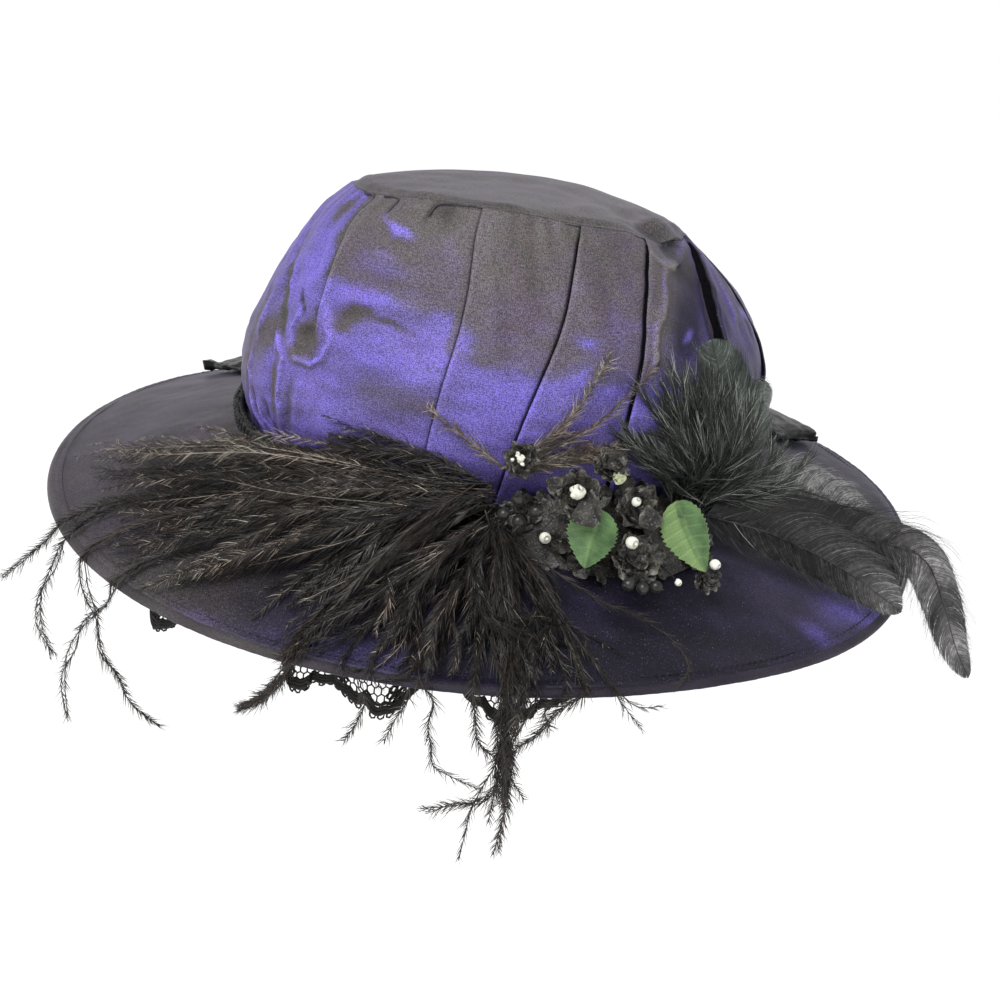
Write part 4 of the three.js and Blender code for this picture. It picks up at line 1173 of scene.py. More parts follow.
def brim_place(points):
    """Angle round the hat and place across the brim of points."""
    across = np.full(points.shape[:-1], 0.5)
    for _ in range(4):
        half_x = mix(BASE[0], RIM[0], across)
        half_y = mix(BASE[1], RIM[1], across)
        away = np.hypot(points[..., 0] / half_x, points[..., 1] / half_y)
        across = across + (away - 1) * half_x / BRIM_WIDTH
    return np.degrees(np.arctan2(points[..., 1] / half_y, points[..., 0] / half_x)), across


def clear_of_hat(points, above=0.9, out=2.6):
    """Points moved out of the crown and up off the brim where they would sink in."""
    height = np.clip(points[..., 2], 0, SEAM_HEIGHT)
    half_x = smooth(CROWN["height"], CROWN["half_x"], height) + out
    half_y = smooth(CROWN["height"], CROWN["half_y"], height) + out
    shift = smooth(CROWN["height"], CROWN["shift_x"], height)
    away = np.hypot((points[..., 0] - shift) / half_x, points[..., 1] / half_y)
    push = np.where(points[..., 2] < SEAM_HEIGHT, np.maximum(1, 1 / np.maximum(away, 0.3)), 1)
    moved = points.copy()
    moved[..., 0] = (points[..., 0] - shift) * push + shift
    moved[..., 1] = points[..., 1] * push
    angle, across = brim_place(moved)
    floor = brim_point(angle, np.clip(across, 0, 1))[..., 2] + above
    over = (across < 1.01) & (moved[..., 2] > floor - 6.0)
    moved[..., 2] = np.where(over, np.maximum(moved[..., 2], floor), moved[..., 2])
    return moved


def along_paths(paths, at):
    """Points and directions of paths (strand, step, xyz) at shares of their length (strand, place)."""
    steps = paths.shape[1]
    where = np.clip(at, 0, 1) * (steps - 1)
    i = np.minimum(where.astype(int), steps - 2)
    part = (where - i)[..., None]
    row = np.arange(len(paths))[:, None]
    along = unit(np.gradient(paths, axis=1))
    point = mix(paths[row, i], paths[row, i + 1], part)
    return point, unit(mix(along[row, i], along[row, i + 1], part))


def barbs(
    build, paths, facing, reach, spacing, lean, width, curl=0.5, droop=0.0, start=0.06, steps=3,
    messy=0.25, jitter=0.14, uneven=0.2, profile=None, opening=None, tone=0.4, mottle=0.2,
):
    """Rows of fine barbs down both sides of many stems; profile and opening vary them along a stem."""
    length = np.linalg.norm(np.diff(paths, axis=1), axis=2).sum(1)
    count = int(length.mean() * (1 - start) / spacing)
    base = start + (1 - start) * (np.arange(count) + 0.5) / count
    tone = np.broadcast_to(tone, (len(paths), 1))
    for side in (-1, 1):
        at = np.clip(base[None, :] + rng.normal(0, 0.35 / count, (len(paths), count)), 0, 1)
        point, along = along_paths(paths, at)
        face = unit(np.broadcast_to(facing, point.shape) + rng.normal(0, messy, point.shape))
        across = unit(np.cross(along, face)) * side
        strand = np.arange(len(paths))[:, None] * 97.0
        clump = ripple(at * length[:, None] + strand, strand, 7.0, int(rng.integers(1 << 30)))
        size = profile(at) if profile else np.sin(np.pi * at ** 0.75) ** 0.5 + 0.25
        size = reach * size * (1 + uneven * rng.uniform(-1, 1, size.shape) + 0.6 * uneven * clump)
        size = np.maximum(size, 0.3)
        open_angle = np.radians(lean * (1 + jitter * (rng.normal(0, 1, size.shape) + clump)))
        if opening:
            open_angle = open_angle * opening(at)
        along_step = np.linspace(0, 1, steps)[None, None, :, None]
        turned = open_angle[..., None, None] * (1 - curl * along_step)
        step = np.cos(turned) * along[:, :, None] + np.sin(turned) * across[:, :, None]
        step = step * (size[..., None, None] / (steps - 1))
        path = point[:, :, None] + np.cumsum(step, 2) - step[:, :, :1]
        path[..., 2] -= droop * size[..., None] * along_step[..., 0] ** 2
        path = clear_of_hat(path.reshape(-1, steps, 3), 0.5, 1.6)
        taper = width * np.linspace(1, 0.55, steps)[None, :]
        value = tone + mottle * (0.9 * clump + rng.normal(0, 1, size.shape)) + 0.12 * ease(at, 0.75, 1.0)
        points, faces = ribbons(path, taper, face.reshape(-1, 3))
        build.add(points, faces, tone=np.repeat(value.ravel(), 2 * steps - 1))


def stems(build, paths, radius, tone, sides=3):
    """Thin tapering stems, each with its own tone, painted lighter in places as glints."""
    count, steps, _ = paths.shape
    at = np.linspace(0, 9, steps)[None, :]
    value = tone + 0.25 * ripple(at, np.arange(count)[:, None] * 7.0, 3.0, 101)
    points, faces = tubes(paths, radius * np.linspace(1, 0.35, steps)[None, :], sides)
    build.add(points, faces, tone=np.repeat(value.ravel(), sides))


def wavy(paths, size, length, grows=1.0):
    """Paths bent by soft random waves that grow towards their tips."""
    steps = paths.shape[1]
    part = np.linspace(0, 1, steps)[None, :, None]
    phase = rng.uniform(0, 2 * np.pi, (len(paths), 1, 3))
    rate = rng.uniform(0.7, 1.3, (len(paths), 1, 3)) * 2 * np.pi / length
    return paths + size * part ** grows * np.sin(phase + part * rate)


SPRAY_ROOT = np.array([0.0, -103.0, 15.0])
SPRAY = table(
    "angle across rise arch tone count",
    (-122, 0.06, 24, 5, 0.3, 6),
    (-132, 0.16, 3, 5, 0.2, 6),
    (-159, 0.24, 1, 2, 0.35, 5),
    (-162, 0.5, 0, 9, 0.25, 7),
    (-165, 0.82, 0, 9, 0.2, 4),
    (-158, 0.75, 0, 11, 0.25, 11),
    (-152, 0.62, 0, 10, 0.2, 15),
    (-143, 0.82, 0, 10, 0.15, 15),
    (-134, 0.72, 0, 9, 0.1, 15),
    (-125, 0.82, 0, 7, 0.0, 13),
    (-116, 0.84, 0, 6, -0.1, 11),
)
FALL_ROOT = np.array([8.0, -106.0, 6.0])
FALL = table(
    "angle across rise arch tone count",
    (-112, 0.84, 0, 5, -0.25, 6),
    (-107, 0.92, 0, 5, -0.25, 6),
    (-101, 0.86, 0, 5, -0.2, 8),
    (-96, 0.96, 0, 5, -0.25, 8),
    (-88, 0.97, 0, 5, -0.2, 9),
    (-80, 0.9, 0, 5, -0.1, 5),
    (-73, 0.8, 0, 5, 0.05, 4),
)

# Strands that hang past the edge of the brim: angle where they cross it, how many, how loose a lock they are,
# and their way down
SPRAY_TRAILS = (
    (-150, 2, 0.5, ((-159, -80, -35), (-167, -80, -44), (-176, -80, -53))),
    (-148, 2, 0.7, ((-156, -84, -44), (-161, -85, -57), (-161, -85, -68), (-156, -85, -76),
                    (-155, -85, -82))),
    (-142, 2, 0.8, ((-139, -103, -44), (-135, -103, -54), (-132, -103, -65), (-126, -102, -77),
                    (-122, -100, -88), (-110, -98, -96))),
    (-134, 2, 0.7, ((-129, -112, -41), (-137, -111, -51), (-140, -109, -62), (-143, -108, -75),
                    (-142, -107, -92))),
    (-108, 6, 0.7, ((-57, -147, -39), (-61, -144, -46), (-67, -141, -55), (-74, -139, -61))),
)
FALL_TRAILS = (
    (-94, 1, 0.4, ((-7, -165, -34), (-8, -165, -43), (-6, -165, -52), (-4, -165, -58),
                   (2, -165, -61), (13, -165, -65))),
    (-88, 1, 0.4, ((7, -166, -39), (8, -166, -43), (10, -166, -49), (13, -166, -52), (18, -166, -56))),
    (-84.5, 7, 1.3, ((17, -167, -38), (19, -167, -50), (20, -167, -59), (21, -167, -67))),
    (-84, 2, 0.5, ((18, -167, -40), (20, -167, -55), (21, -167, -68), (21, -167, -77), (20, -167, -87))),
    (-83, 2, 0.7, ((17, -167, -46), (18, -167, -58), (13, -168, -66), (3, -168, -71), (-4, -168, -74))),
    (-84, 1, 0.6, ((18, -167, -50), (14, -168, -63), (11, -168, -71), (9, -168, -78), (7, -168, -89))),
    (-83, 1, 0.6, ((19, -167, -52), (18, -167, -63), (17, -167, -74))),
    (-82, 1, 0.6, ((20, -167, -45), (22, -167, -58), (28, -167, -65))),
    (-76.5, 2, 0.5, ((33, -166, -31), (27, -167, -42), (22, -167, -49), (20, -167, -58))),
    (-99, 1, 0.4, ((-14, -163, -33), (-17, -163, -45), (-20, -163, -52))),
    (-102, 1, 0.4, ((-29, -158, -39), (-31, -158, -50), (-34, -158, -58))),
    (-79, 1, 0.4, ((29, -166, -30), (31, -166, -36))),
)
TRAIL_CURLS = (
    ((10, -108, 6), (24, -124, 2), (44, -131, -6), (62, -133, -11), (72, -138, -15), (76, -145, -20),
     (72, -151, -24)),
    ((9, -108, 6), (22, -128, 0), (36, -146, -12), (50, -156, -22), (60, -160, -28), (68, -160, -27)),
    ((9, -107, 6), (20, -128, 0), (33, -143, -10), (47, -153, -21), (56, -160, -30), (62, -162, -36)),
)


STRAND_STEPS = 40


def strand_start(root, landing, arch):
    """The first points of a strand: its root and the top of its arch, clear of the crown."""
    middle = mix(root, landing, 0.48)
    middle[:2] *= max(1, 1.1 / np.hypot(middle[0] / 104, middle[1] / 92))
    middle[2] += arch
    return [root, middle]


def strand_fan(root, rows, root_spread):
    """Strands in locks, and their tones: each lock bows its own way, its strands part and meet at the tip."""
    paths = []
    tones = []
    for angle, across, rise, arch, tone, count in zip(*rows.values()):
        locks = max(1, int(count) // 4)
        for _ in range(locks):
            loose = 0.2 if rise else 1.0
            lock_angle = angle + rng.normal(0, 3.4) * loose
            lock_across = across + rng.normal(0, 0.08) * loose
            bow = rng.normal(0, 9.0)
            # Some locks darker, as painted shade under the others, and some lighter, which lie on top
            lock_tone = tone + rng.choice([-0.3, 0.0, 0.35], p=[0.4, 0.35, 0.25])
            for _ in range(int(np.ceil(count / locks))):
                start = root + rng.normal(0, root_spread, 3) * (1, 0.6, 0.8)
                end_angle = lock_angle + rng.normal(0, 1.5)
                end_across = min(0.98, lock_across + rng.normal(0, 0.06))
                landing = brim_point(end_angle, end_across, 2.6 + rise)
                first, middle = strand_start(start, landing, arch + rng.uniform(-8, 3))
                along = unit(landing - start)
                side = np.array([along[1], -along[0], 0])
                middle = middle + side * (bow + rng.normal(0, 2.4))
                last = mix(middle, landing, 0.6) + side * (rng.normal(0, 1.6) - 0.3 * bow)
                paths.append(spline([first, middle, last, landing], STRAND_STEPS))
                tones.append([lock_tone + rng.normal(0, 0.12)])
    return np.array(paths), np.array(tones)


def trailing(root, trails, root_spread):
    """Strands over the brim and down past its edge."""
    paths = []
    for angle, count, loose, points in trails:
        for _ in range(count):
            start = root + rng.normal(0, root_spread, 3) * (1, 0.6, 0.8)
            edge = brim_point(angle + rng.normal(0, 0.5) * loose, 1.01, 1.6)
            before = brim_point(angle + rng.normal(0, 0.8) * loose, 0.86, 3.0)
            first, middle = strand_start(start, before, rng.uniform(0, 7))
            end = int(np.ceil(len(points) * rng.uniform(0.75, 1.0))) if count > 4 else len(points)
            down = [np.array(point) + rng.normal(0, loose, 3) for point in points[:end]]
            paths.append(spline([first, middle, before, edge, *down], STRAND_STEPS))
    return np.array(paths)


def feather_colour(name, dark, light, glint, roughness=0.42, hue=(1.0, 1.0, 1.0, 1.0)):
    """Barbs from dark to light by their own tone, with a fine streak; tones above 0.9 blend to a painted
    glint.
    """
    s = Shader(name)
    tone = s.attribute("tone")
    streak = s.noise(s.place(), 420.0, 3.0, 0.7)
    tone = s.math("ADD", tone, s.spread(streak, 0.3, 0.7, -0.25, 0.25))
    base = s.blend(s.spread(tone, 0.0, 1.0), dark, light)
    base = s.blend(s.spread(tone, 0.9, 1.5), base, glint)
    warm = s.spread(s.noise(s.place(), 45.0, 2.0), 0.45, 0.6, 0.0, 0.8)
    base = s.blend(warm, base, hue, "MULTIPLY")
    return s.finish(
        Base_Color=base,
        Roughness=roughness,
        Specular_IOR_Level=0.4,
        Sheen_Weight=0.08,
        Sheen_Roughness=0.35,
        Normal=s.bump(streak, 0.15, 0.5),
    )


WARM = (1.08, 0.97, 0.93, 1.0)
OSTRICH = feather_colour("ostrich", colour(3, 2, 2), colour(82, 73, 66), colour(178, 168, 154), hue=WARM)
COQUE_VANE = feather_colour("coque", colour(9, 9, 10), colour(90, 88, 88), colour(170, 170, 170), 0.36)
GREEN_VANE = feather_colour(
    "coque_green", colour(16, 20, 19), colour(72, 80, 75), colour(132, 142, 134), 0.34,
)
HACKLE = feather_colour("hackle", colour(5, 7, 6), colour(66, 71, 65), colour(156, 162, 152), 0.38)


def out_of_hat(paths, roll):
    """Directions that strands show their broad side to: away from the hat and up, each rolled a little."""
    out = unit(paths.mean(1, keepdims=True) * (1 / RIM[0], 1 / RIM[1], 0) + (0, 0, 0.7))
    return unit(out + rng.normal(0, roll, (len(paths), 1, 3)))


def ostrich(build, fan, reach, spacing, lean, waves=4.0):
    """Strands that lie on the hat: fine hairs close along each stem, which open at its tip."""
    paths, tone = fan
    paths = clear_of_hat(wavy(paths, waves, 1.3), 1.2)
    # Lighter strands lie higher, over the darker ones painted as shade
    paths[..., 2] += 2.2 * ease(tone, 0.0, 0.6) * np.sin(np.linspace(0, np.pi, STRAND_STEPS))
    # Some stems painted lighter, the lightest as glints along their quills
    stems(build, paths, 0.26, tone + rng.choice([0.0, 0.5, 1.2], (len(paths), 1), p=[0.55, 0.3, 0.15]))
    barbs(
        build, paths, out_of_hat(paths, 0.5), reach, spacing, lean, 0.21,
        curl=0.35, droop=0.12, messy=0.4, jitter=0.35, uneven=0.35, tone=tone - 0.1, mottle=0.56,
        profile=lambda at: 0.55 + 0.45 * np.sin(np.pi * at) - 0.3 * ease(at, 0.8, 1.0),
        opening=lambda at: 1 + 0.7 * ease(at, 0.72, 1.0),
    )


def ostrich_twigs(build, paths, reach=5.4, waves=1.2, tone=0.2, lean=21):
    """Strands that hang past the edge: soft along the brim, then dark bare twigs with small leaning hairs."""
    paths = clear_of_hat(wavy(paths, waves, 0.9, 2.0), 1.2)
    tone = rng.normal(tone, 0.1, (len(paths), 1))
    stems(build, paths, 0.4, tone + 0.05, 4)
    barbs(
        build, paths, out_of_hat(paths, 0.5), reach, 0.62, lean, 0.27,
        curl=0.3, messy=0.35, jitter=0.35, uneven=0.4, tone=tone, mottle=0.14,
        profile=lambda at: 1.25 - 0.3 * ease(at, 0.5, 0.7) - 0.3 * ease(at, 0.9, 1.0),
        opening=lambda at: 0.8 + 0.75 * ease(at, 0.5, 0.75),
    )


def ostrich_spray():
    """Strands fanned over the left of the brim, some of them hanging off it."""
    build = Build()
    ostrich(build, strand_fan(SPRAY_ROOT, SPRAY, 3.4), 7.8, 0.66, 26)
    ostrich_twigs(build, trailing(SPRAY_ROOT, SPRAY_TRAILS, 3.0))
    return dress(build, "ostrich_spray_strands", "ostrich_spray", "ostrich", OSTRICH)


def ostrich_fall():
    """Strands that fall over the front of the brim, some of them curling up again."""
    build = Build()
    ostrich(build, strand_fan(FALL_ROOT, FALL, 3.0), 7.0, 0.6, 22, 3.5)
    ostrich_twigs(build, trailing(FALL_ROOT, FALL_TRAILS, 2.6))
    curls = np.array([spline(points, STRAND_STEPS) for points in TRAIL_CURLS])
    ostrich_twigs(build, curls, 4.6, 0.6)
    return dress(build, "ostrich_fall_strands", "ostrich_fall", "ostrich", OSTRICH)


WISP_ROOT = np.array([9.0, -98.5, 23.5])
WISPS = table(
    "angle height count",
    (-104, 46, 1),
    (-77, 43, 1),
    (-68, 70, 2),
    (-59.5, 64, 2),
    (-70, 36, 3),
    (-64, 37, 3),
    (-58, 40, 3),
)


def ostrich_wisps():
    """Thin pale strands that stand up the crown."""
    paths = []
    for angle, height, count in zip(*WISPS.values()):
        for _ in range(int(count)):
            angle_end = angle + rng.normal(0, 1.6)
            height_end = height - rng.uniform(0, 6)
            start = WISP_ROOT + rng.normal(0, 1.6, 3)
            height_middle = mix(WISP_ROOT[2], height_end, 0.5)
            middle = crown_point(mix(-85, angle_end, 0.5), height_middle, rng.uniform(3.0, 4.4))
            end = crown_point(angle_end, height_end, rng.uniform(2.6, 3.6))
            paths.append(spline([start, middle, end], 26))
    build = Build()
    ostrich_twigs(build, np.array(paths), 5.2, 0.9, 0.92, 30)
    return dress(build, "ostrich_wisps_strands", "ostrich_wisps", "ostrich", OSTRICH)


TUFT_ROOT = np.array([76.0, -73.0, 14.0])
TUFT = table(
    "angle height out",
    (-66, 44, 6),
    (-58, 60, 5),
    (-49, 66, 6),
    (-44, 60, 8),
    (-57, 46, 11),
    (-48, 48, 13),
    (-41, 52, 15),
    (-31, 36, 20),
    (-23, 27, 26),
)


def hackle_tuft():
    """Many soft upright plumes, each a thin stem with long fine barbs."""
    paths = []
    for angle, height, out in zip(*TUFT.values()):
        for _ in range(14 if angle < -35 else 7):
            angle_end = angle + rng.normal(0, 2.9)
            height_end = height * rng.uniform(0.72, 1.02)
            start = TUFT_ROOT + rng.normal(0, 4.2, 3) * (1, 0.7, 0.8)
            height_middle = mix(TUFT_ROOT[2], height_end, 0.5)
            middle = crown_point(mix(-47, angle_end, 0.5), height_middle, out + rng.uniform(0, 4))
            end = crown_point(angle_end, height_end, out + rng.uniform(-2, 1))
            paths.append(spline([start, middle, end], 22))
    paths = clear_of_hat(wavy(np.array(paths), 2.4, 1.6))
    tone = rng.normal(0.3, 0.16, (len(paths), 1))
    build = Build()
    # A quarter of the stems painted light, as glints
    stems(build, paths, 0.26, tone + rng.choice([0.1, 1.1], (len(paths), 1), p=[0.75, 0.25]))
    barbs(
        build, paths, (0.3, -0.75, 0.5), 10.0, 0.66, 12, 0.18,
        curl=0.1, messy=0.5, jitter=0.4, uneven=0.35, tone=tone, mottle=0.6,
    )
    return dress(build, "hackle_tuft_plumes", "hackle_tuft", "coque", HACKLE)


# Broad cock feathers: widths of the vane above and below its quill, how far it is hollowed, how light it is
# along its length, partly its own colour and partly painted sheen and glints (tones at VANE_PLACES), how
# loose its end is, what it faces, and its quill's points
VANE_PLACES = (0, 0.45, 0.68, 0.79, 0.9, 1)
UPRIGHT = (0.1, -1, 0.25)
LYING = (0.3, -0.75, 0.6)
COQUE = (
    {
        "widths": (12, 12), "camber": 0.25, "tones": (0.0, 0.3, 0.5, 0.6, 0.7, 0.9), "end": 0.1,
        "facing": UPRIGHT,
        "quill": ((81, -69, 20), (85, -64, 42), (81, -60, 58), (76.5, -58, 70)),
    },
    {
        "widths": (9.5, 9.5), "camber": 0.5, "tones": (0.2, 0.6, 0.7, 0.7, 0.8, 0.9), "end": 0.1,
        "facing": (0.5, -0.9, 0.2),
        "quill": ((81.5, -69.5, 16.5), (98, -57, 32), (101, -47, 46), (104, -42, 38)),
    },
    {
        "widths": (12, 11), "camber": 0.15, "tones": (-0.1, 0.85, 1.05, 0.95, 0.7, -0.2), "end": 0.1,
        "facing": LYING,
        "quill": ((82, -69.5, 13), (115, -41, 10), (141, -24, 0), (163, -17, -10)),
    },
    {
        "widths": (10.5, 10.5), "camber": 0.12, "tones": (-0.3, -0.1, 1.05, 0.15, 1.1, 0.2), "end": 0.8,
        "facing": LYING,
        "quill": ((80.5, -73, 8), (125, -52, 1), (156, -44, -6), (174, -50, -9), (184, -54, -24),
                  (192, -58, -41), (199, -60, -52)),
    },
    {
        "widths": (15, 8), "camber": 0.2, "tones": (-0.3, 0.0, 0.15, 0.4, 0.75, 0.6), "end": 0.3,
        "facing": (0.2, -0.8, 0.6),
        "quill": ((78.5, -77, 9), (112, -76, 3), (140, -79, -7), (160, -84, -17)),
    },
    {
        "widths": (8, 9), "camber": 0.12, "tones": (-0.3, -0.1, 0.1, 0.05, -0.1, -0.1), "end": 0.4,
        "facing": LYING,
        "quill": ((81.5, -71, 10.5), (121, -52, 4), (149, -44, -6), (172, -44, -18)),
    },
)


def vane_width(at):
    """Width of a cock feather along its quill: narrow at the root, broad, and rounded at the tip."""
    towards_tip = np.clip((at - 0.66) / 0.34, 0, 1)
    return (ease(at, -0.1, 0.4) * 0.85 + 0.15) * np.sqrt(np.clip(1 - towards_tip ** 2.2, 0.0, 1))


def vane(build, path, widths, wider, facing, camber, spacing, width, tones, lighter, mottle, loose, end):
    """Close barbs that leave the quill at a slant, bend forward and end on the outline of the vane."""
    length = np.linalg.norm(np.diff(path[0], axis=0), axis=1).sum()
    count = int(length * 0.94 / spacing)
    steps = 8
    share = np.linspace(0, 1, steps)[None, :]
    for side, half_width in zip((-1, 1), widths):
        half_width = half_width * wider
        root = length * np.linspace(0.06, 1, count)
        clump = ripple(root, 0 * root, 10.0, int(rng.integers(1 << 30)))
        slant = 1.35 + 0.1 * clump + rng.normal(0, 0.05 * loose, count)
        tip = root
        for _ in range(16):
            tip = 0.5 * tip + 0.5 * np.minimum(length, root + slant * half_width * vane_width(tip / length))
        ragged = 1 + loose * (rng.uniform(-0.05, 0.12, count) + 0.05 * clump)
        wide = half_width * vane_width(tip / length) * ragged
        along = root[:, None] + (tip - root)[:, None] * (0.5 * share + 0.5 * share ** 2)
        point, direction = along_paths(path, along.reshape(1, -1) / length)
        face = unit(np.broadcast_to(np.asarray(facing, float), point.shape))
        across = unit(np.cross(direction, face)) * side
        point, across, face = (rows.reshape(count, steps, 3) for rows in (point, across, face))
        out = wide[:, None] * (0.25 * share + 0.75 * np.sin(share * np.pi / 2))
        seed = int(rng.integers(1 << 30))
        out = out + loose * 0.25 * ripple(root[:, None] * 3, share * 9, 6.0, seed) * share
        barb = point + across * out[..., None] - face * (camber * out * share)[..., None]
        barb = clear_of_hat(barb, 0.5, 1.6)
        at = root / length
        narrow = 1 - 0.45 * end * ease(at, 0.5, 0.8)
        taper = width * narrow[:, None] * np.linspace(1, 0.6, steps)[None, :]
        value = np.interp(at, VANE_PLACES, tones) + lighter + mottle * (clump + 0.8 * rng.normal(0, 1, count))
        roll = unit(face[:, :1] + direction.reshape(count, steps, 3)[:, :1] * 0.25)
        points, faces = ribbons(barb, taper, np.broadcast_to(roll, barb.shape))
        build.add(points, faces, tone=np.repeat(value, 2 * steps - 1))


def coque_feather(number, widths, camber, tones, end, facing, quill):
    """A vane of close barbs, finer ones over it, loose hairs along its edge and down at its root."""
    path = clear_of_hat(spline(quill, 60)[None], 2.0, 3.0)
    build = Build()
    stems(build, path, 0.55, np.array([[0.15]]), 5)
    vane(build, path, widths, 1.0, facing, camber, 0.4, 0.72, tones, 0.0, 0.2, 0.3, end)
    vane(build, path, widths, 1.02, facing, camber * 0.9, 0.5, 0.18, tones, 0.1, 0.4, 0.6 + end, end)
    vane(build, path, widths, 1.16, facing, camber * 1.1, 0.6, 0.16, tones, 0.0, 0.35, 1.5 + 3.5 * end, end)
    barbs(
        build, path, np.array(facing, float), widths[1] * 1.2, 0.36, 40, 0.2,
        curl=0.3, start=0.02, steps=5, messy=0.7, jitter=0.3, uneven=0.5, tone=tones[0] + 0.1, mottle=0.4,
        profile=lambda at: np.exp(-(at / 0.44) ** 2) + 0.02,
    )
    material = GREEN_VANE if number < 3 else COQUE_VANE
    return dress(build, f"coque_feather_{number}_vane", f"coque_feather_{number}", "coque", material)


# Flowers, leaves, berries and stamens

def turned_to(facing):
    """Three directions: two across and one along a facing."""
    up = unit(np.asarray(facing, float))
    side = unit(np.cross((0, 0, 1.0), up))
    return side, np.cross(up, side), up


def petal_grid(build, centre, facing, spin, reach, width, cup, crinkle, rows=7, columns=7, mark=0, pale=1.0):
    """One crinkled petal from the centre of its flower outwards."""
    side, up, face = turned_to(facing)
    out = np.cos(spin) * side + np.sin(spin) * up
    across = np.cos(spin) * up - np.sin(spin) * side
    u = np.linspace(0, 1, rows)[:, None]
    v = np.linspace(-1, 1, columns)[None, :]
    half = width / 2 * (np.sin(np.pi * np.clip(u, 0, 1) ** 0.65 * 0.93) ** 0.6 + 0.12)
    round_end = 1 - 0.18 * v ** 2 * u
    radius = reach * u * round_end
    seed = rng.integers(1 << 30)
    lift = cup * u ** 1.4 * reach - 0.25 * reach * u * v ** 2 * 0.4
    lift = lift + crinkle * ripple(radius, v * half, 2.7, seed) * (0.2 + u)
    flat = out * radius[..., None] + across * (v * half)[..., None] + face * lift[..., None]
    flat = flat + (crinkle * 0.7 * ripple(v * half, radius + 9, 4, seed + 1) * u)[..., None] * out
    # rim: painted highlights along the petal's edges, their strength drawn up to pale
    rim = np.maximum(ease(u, 0.8, 1.0), ease(np.abs(v), 0.75, 1.0)) * rng.uniform(0.1, pale)
    build.add(centre + flat, [grid_faces(rows, columns, False)], mark=mark, rim=rim.ravel())


BLOSSOMS = (
    ((33, -108, 22), (0.1, -1, 0.5), 9.5),
    ((56, -100, 17), (0.25, -1, 0.55), 9),
    ((57, -110, 2), (0.2, -0.9, 0.7), 9.5),
    ((12, -101, 30), (-0.1, -1, 0.4), 6.5),
    ((44, -96, 30), (0.1, -0.8, 0.8), 7),
    ((83, -108, -3), (0.4, -0.8, 0.5), 6),
)


def organza_material():
    """Crumpled black organza: painted shade in its hollows, painted glints on a fine net and painted
    highlights on its rims.
    """
    s = Shader("organza")
    place = s.place()
    mesh_net = s.noise(place, 1300.0, 1.0, 0.5)
    fold = s.noise(place, 260.0, 3.0, 0.6)
    # Painted shade in the crumples, painted highlights on the rims and painted glints on the net
    base = s.blend(s.spread(fold, 0.42, 0.66), colour(7, 7, 6), colour(58, 56, 51))
    rim_highlight = s.math("MULTIPLY", s.attribute("rim"), s.spread(fold, 0.38, 0.6))
    base = s.blend(rim_highlight, base, colour(124, 118, 104))
    base = s.blend(s.spread(mesh_net, 0.58, 0.7, 0.0, 0.35), base, colour(138, 134, 124))
    return s.finish(
        Base_Color=base,
        Roughness=0.4,
        Sheen_Weight=0.12,
        Sheen_Roughness=0.3,
        Normal=s.bump(s.math("ADD", mesh_net, fold), 0.2, 0.8),
    )


ORGANZA = organza_material()
PALE_LEAF = plain_cloth("pale_leaf", colour(112, 122, 84), colour(186, 192, 156), 0.6)

# Single petals that show in the photo beside their blossom: number of the blossom, place, spin, reach, width
# and number of the material
LOOSE_PETALS = (
    (1, (34, -115, 22), -48, 10, 10, 0),
    (1, (27, -110, 24), 150, 6, 6, 0),
    (5, (45, -101, 27), 10, 5, 4.5, 1),
    (3, (61, -109, 13), 100, 9, 8, 0),
)


def blossom(number, centre, facing, reach):
    """Three layers of crinkled petals, the inner ones smaller and more cupped."""
    build = Build()
    centre = np.array(centre, float)
    turn = rng.uniform(0, 6)
    for layer, (petals, part, cup) in enumerate(((6, 1.0, 0.12), (5, 0.85, 0.4), (5, 0.55, 0.8))):
        for i in range(petals):
            spin = turn + 2 * np.pi * (i + 0.5 * layer) / petals + rng.normal(0, 0.1)
            size = reach * part * rng.uniform(0.9, 1.08)
            petal_grid(build, centre, facing, spin, size, size * 1.05, cup, 0.75 + 0.07 * reach * part)
    for owner, place, spin, reach, width, mark in LOOSE_PETALS:
        if owner == number:
            petal_grid(build, np.array(place), facing, np.radians(spin), reach, width, 0.1, 0.6, mark=mark)
    return dress(build, f"blossom_{number}_petals", f"blossom_{number}", "organza", ORGANZA, PALE_LEAF)


BACKING = table(
    "angle reach height",
    (-89, 15, 9),
    (-82, 24, 16),
    (-70, 33, 20),
    (-58, 36, 18),
    (-47, 30, 13),
    (-41, 18, 7),
)


BACKING_PETALS = 150


def flower_backing():
    """The bank under the flowers, covered in small crinkled petals and dark bits."""
    build = Build()
    for _ in range(BACKING_PETALS):
        angle = rng.uniform(-87, -43)
        reach = np.interp(angle, BACKING["angle"], BACKING["reach"])
        height = np.interp(angle, BACKING["angle"], BACKING["height"])
        part = rng.uniform(0, 1)
        out = mix(10.5, reach - 1, part)
        above = mix(height + 2, 2.5, part ** 1.3)
        centre = brim_point(angle, across_of(out), above)
        turn = np.radians(angle)
        outward = np.array([np.cos(turn), np.sin(turn), 0.7]) + rng.normal(0, 0.5, 3)
        size = rng.uniform(3.5, 6.5)
        # The backing's petals take weaker painted highlights (pale 0.4), lying in shade under the blossoms
        petal_grid(build, centre, outward, rng.uniform(0, 6), size, size, 0.25, 0.7, 6, 6, pale=0.4)
    fill = np.linspace(-86, -44, 26)[:, None]
    reach = np.interp(fill, BACKING["angle"], BACKING["reach"])
    height = np.interp(fill, BACKING["angle"], BACKING["height"])
    part = np.linspace(0, 1, 12)[None, :]
    bank = brim_point(fill + 0 * part, across_of(mix(10.5, reach - 2, part)), mix(height, 1.0, part ** 1.3))
    build.add(bank, [grid_faces(26, 12, False)], rim=0.0)
    return dress(build, "flower_backing_petals", "flower_backing", "organza", ORGANZA)


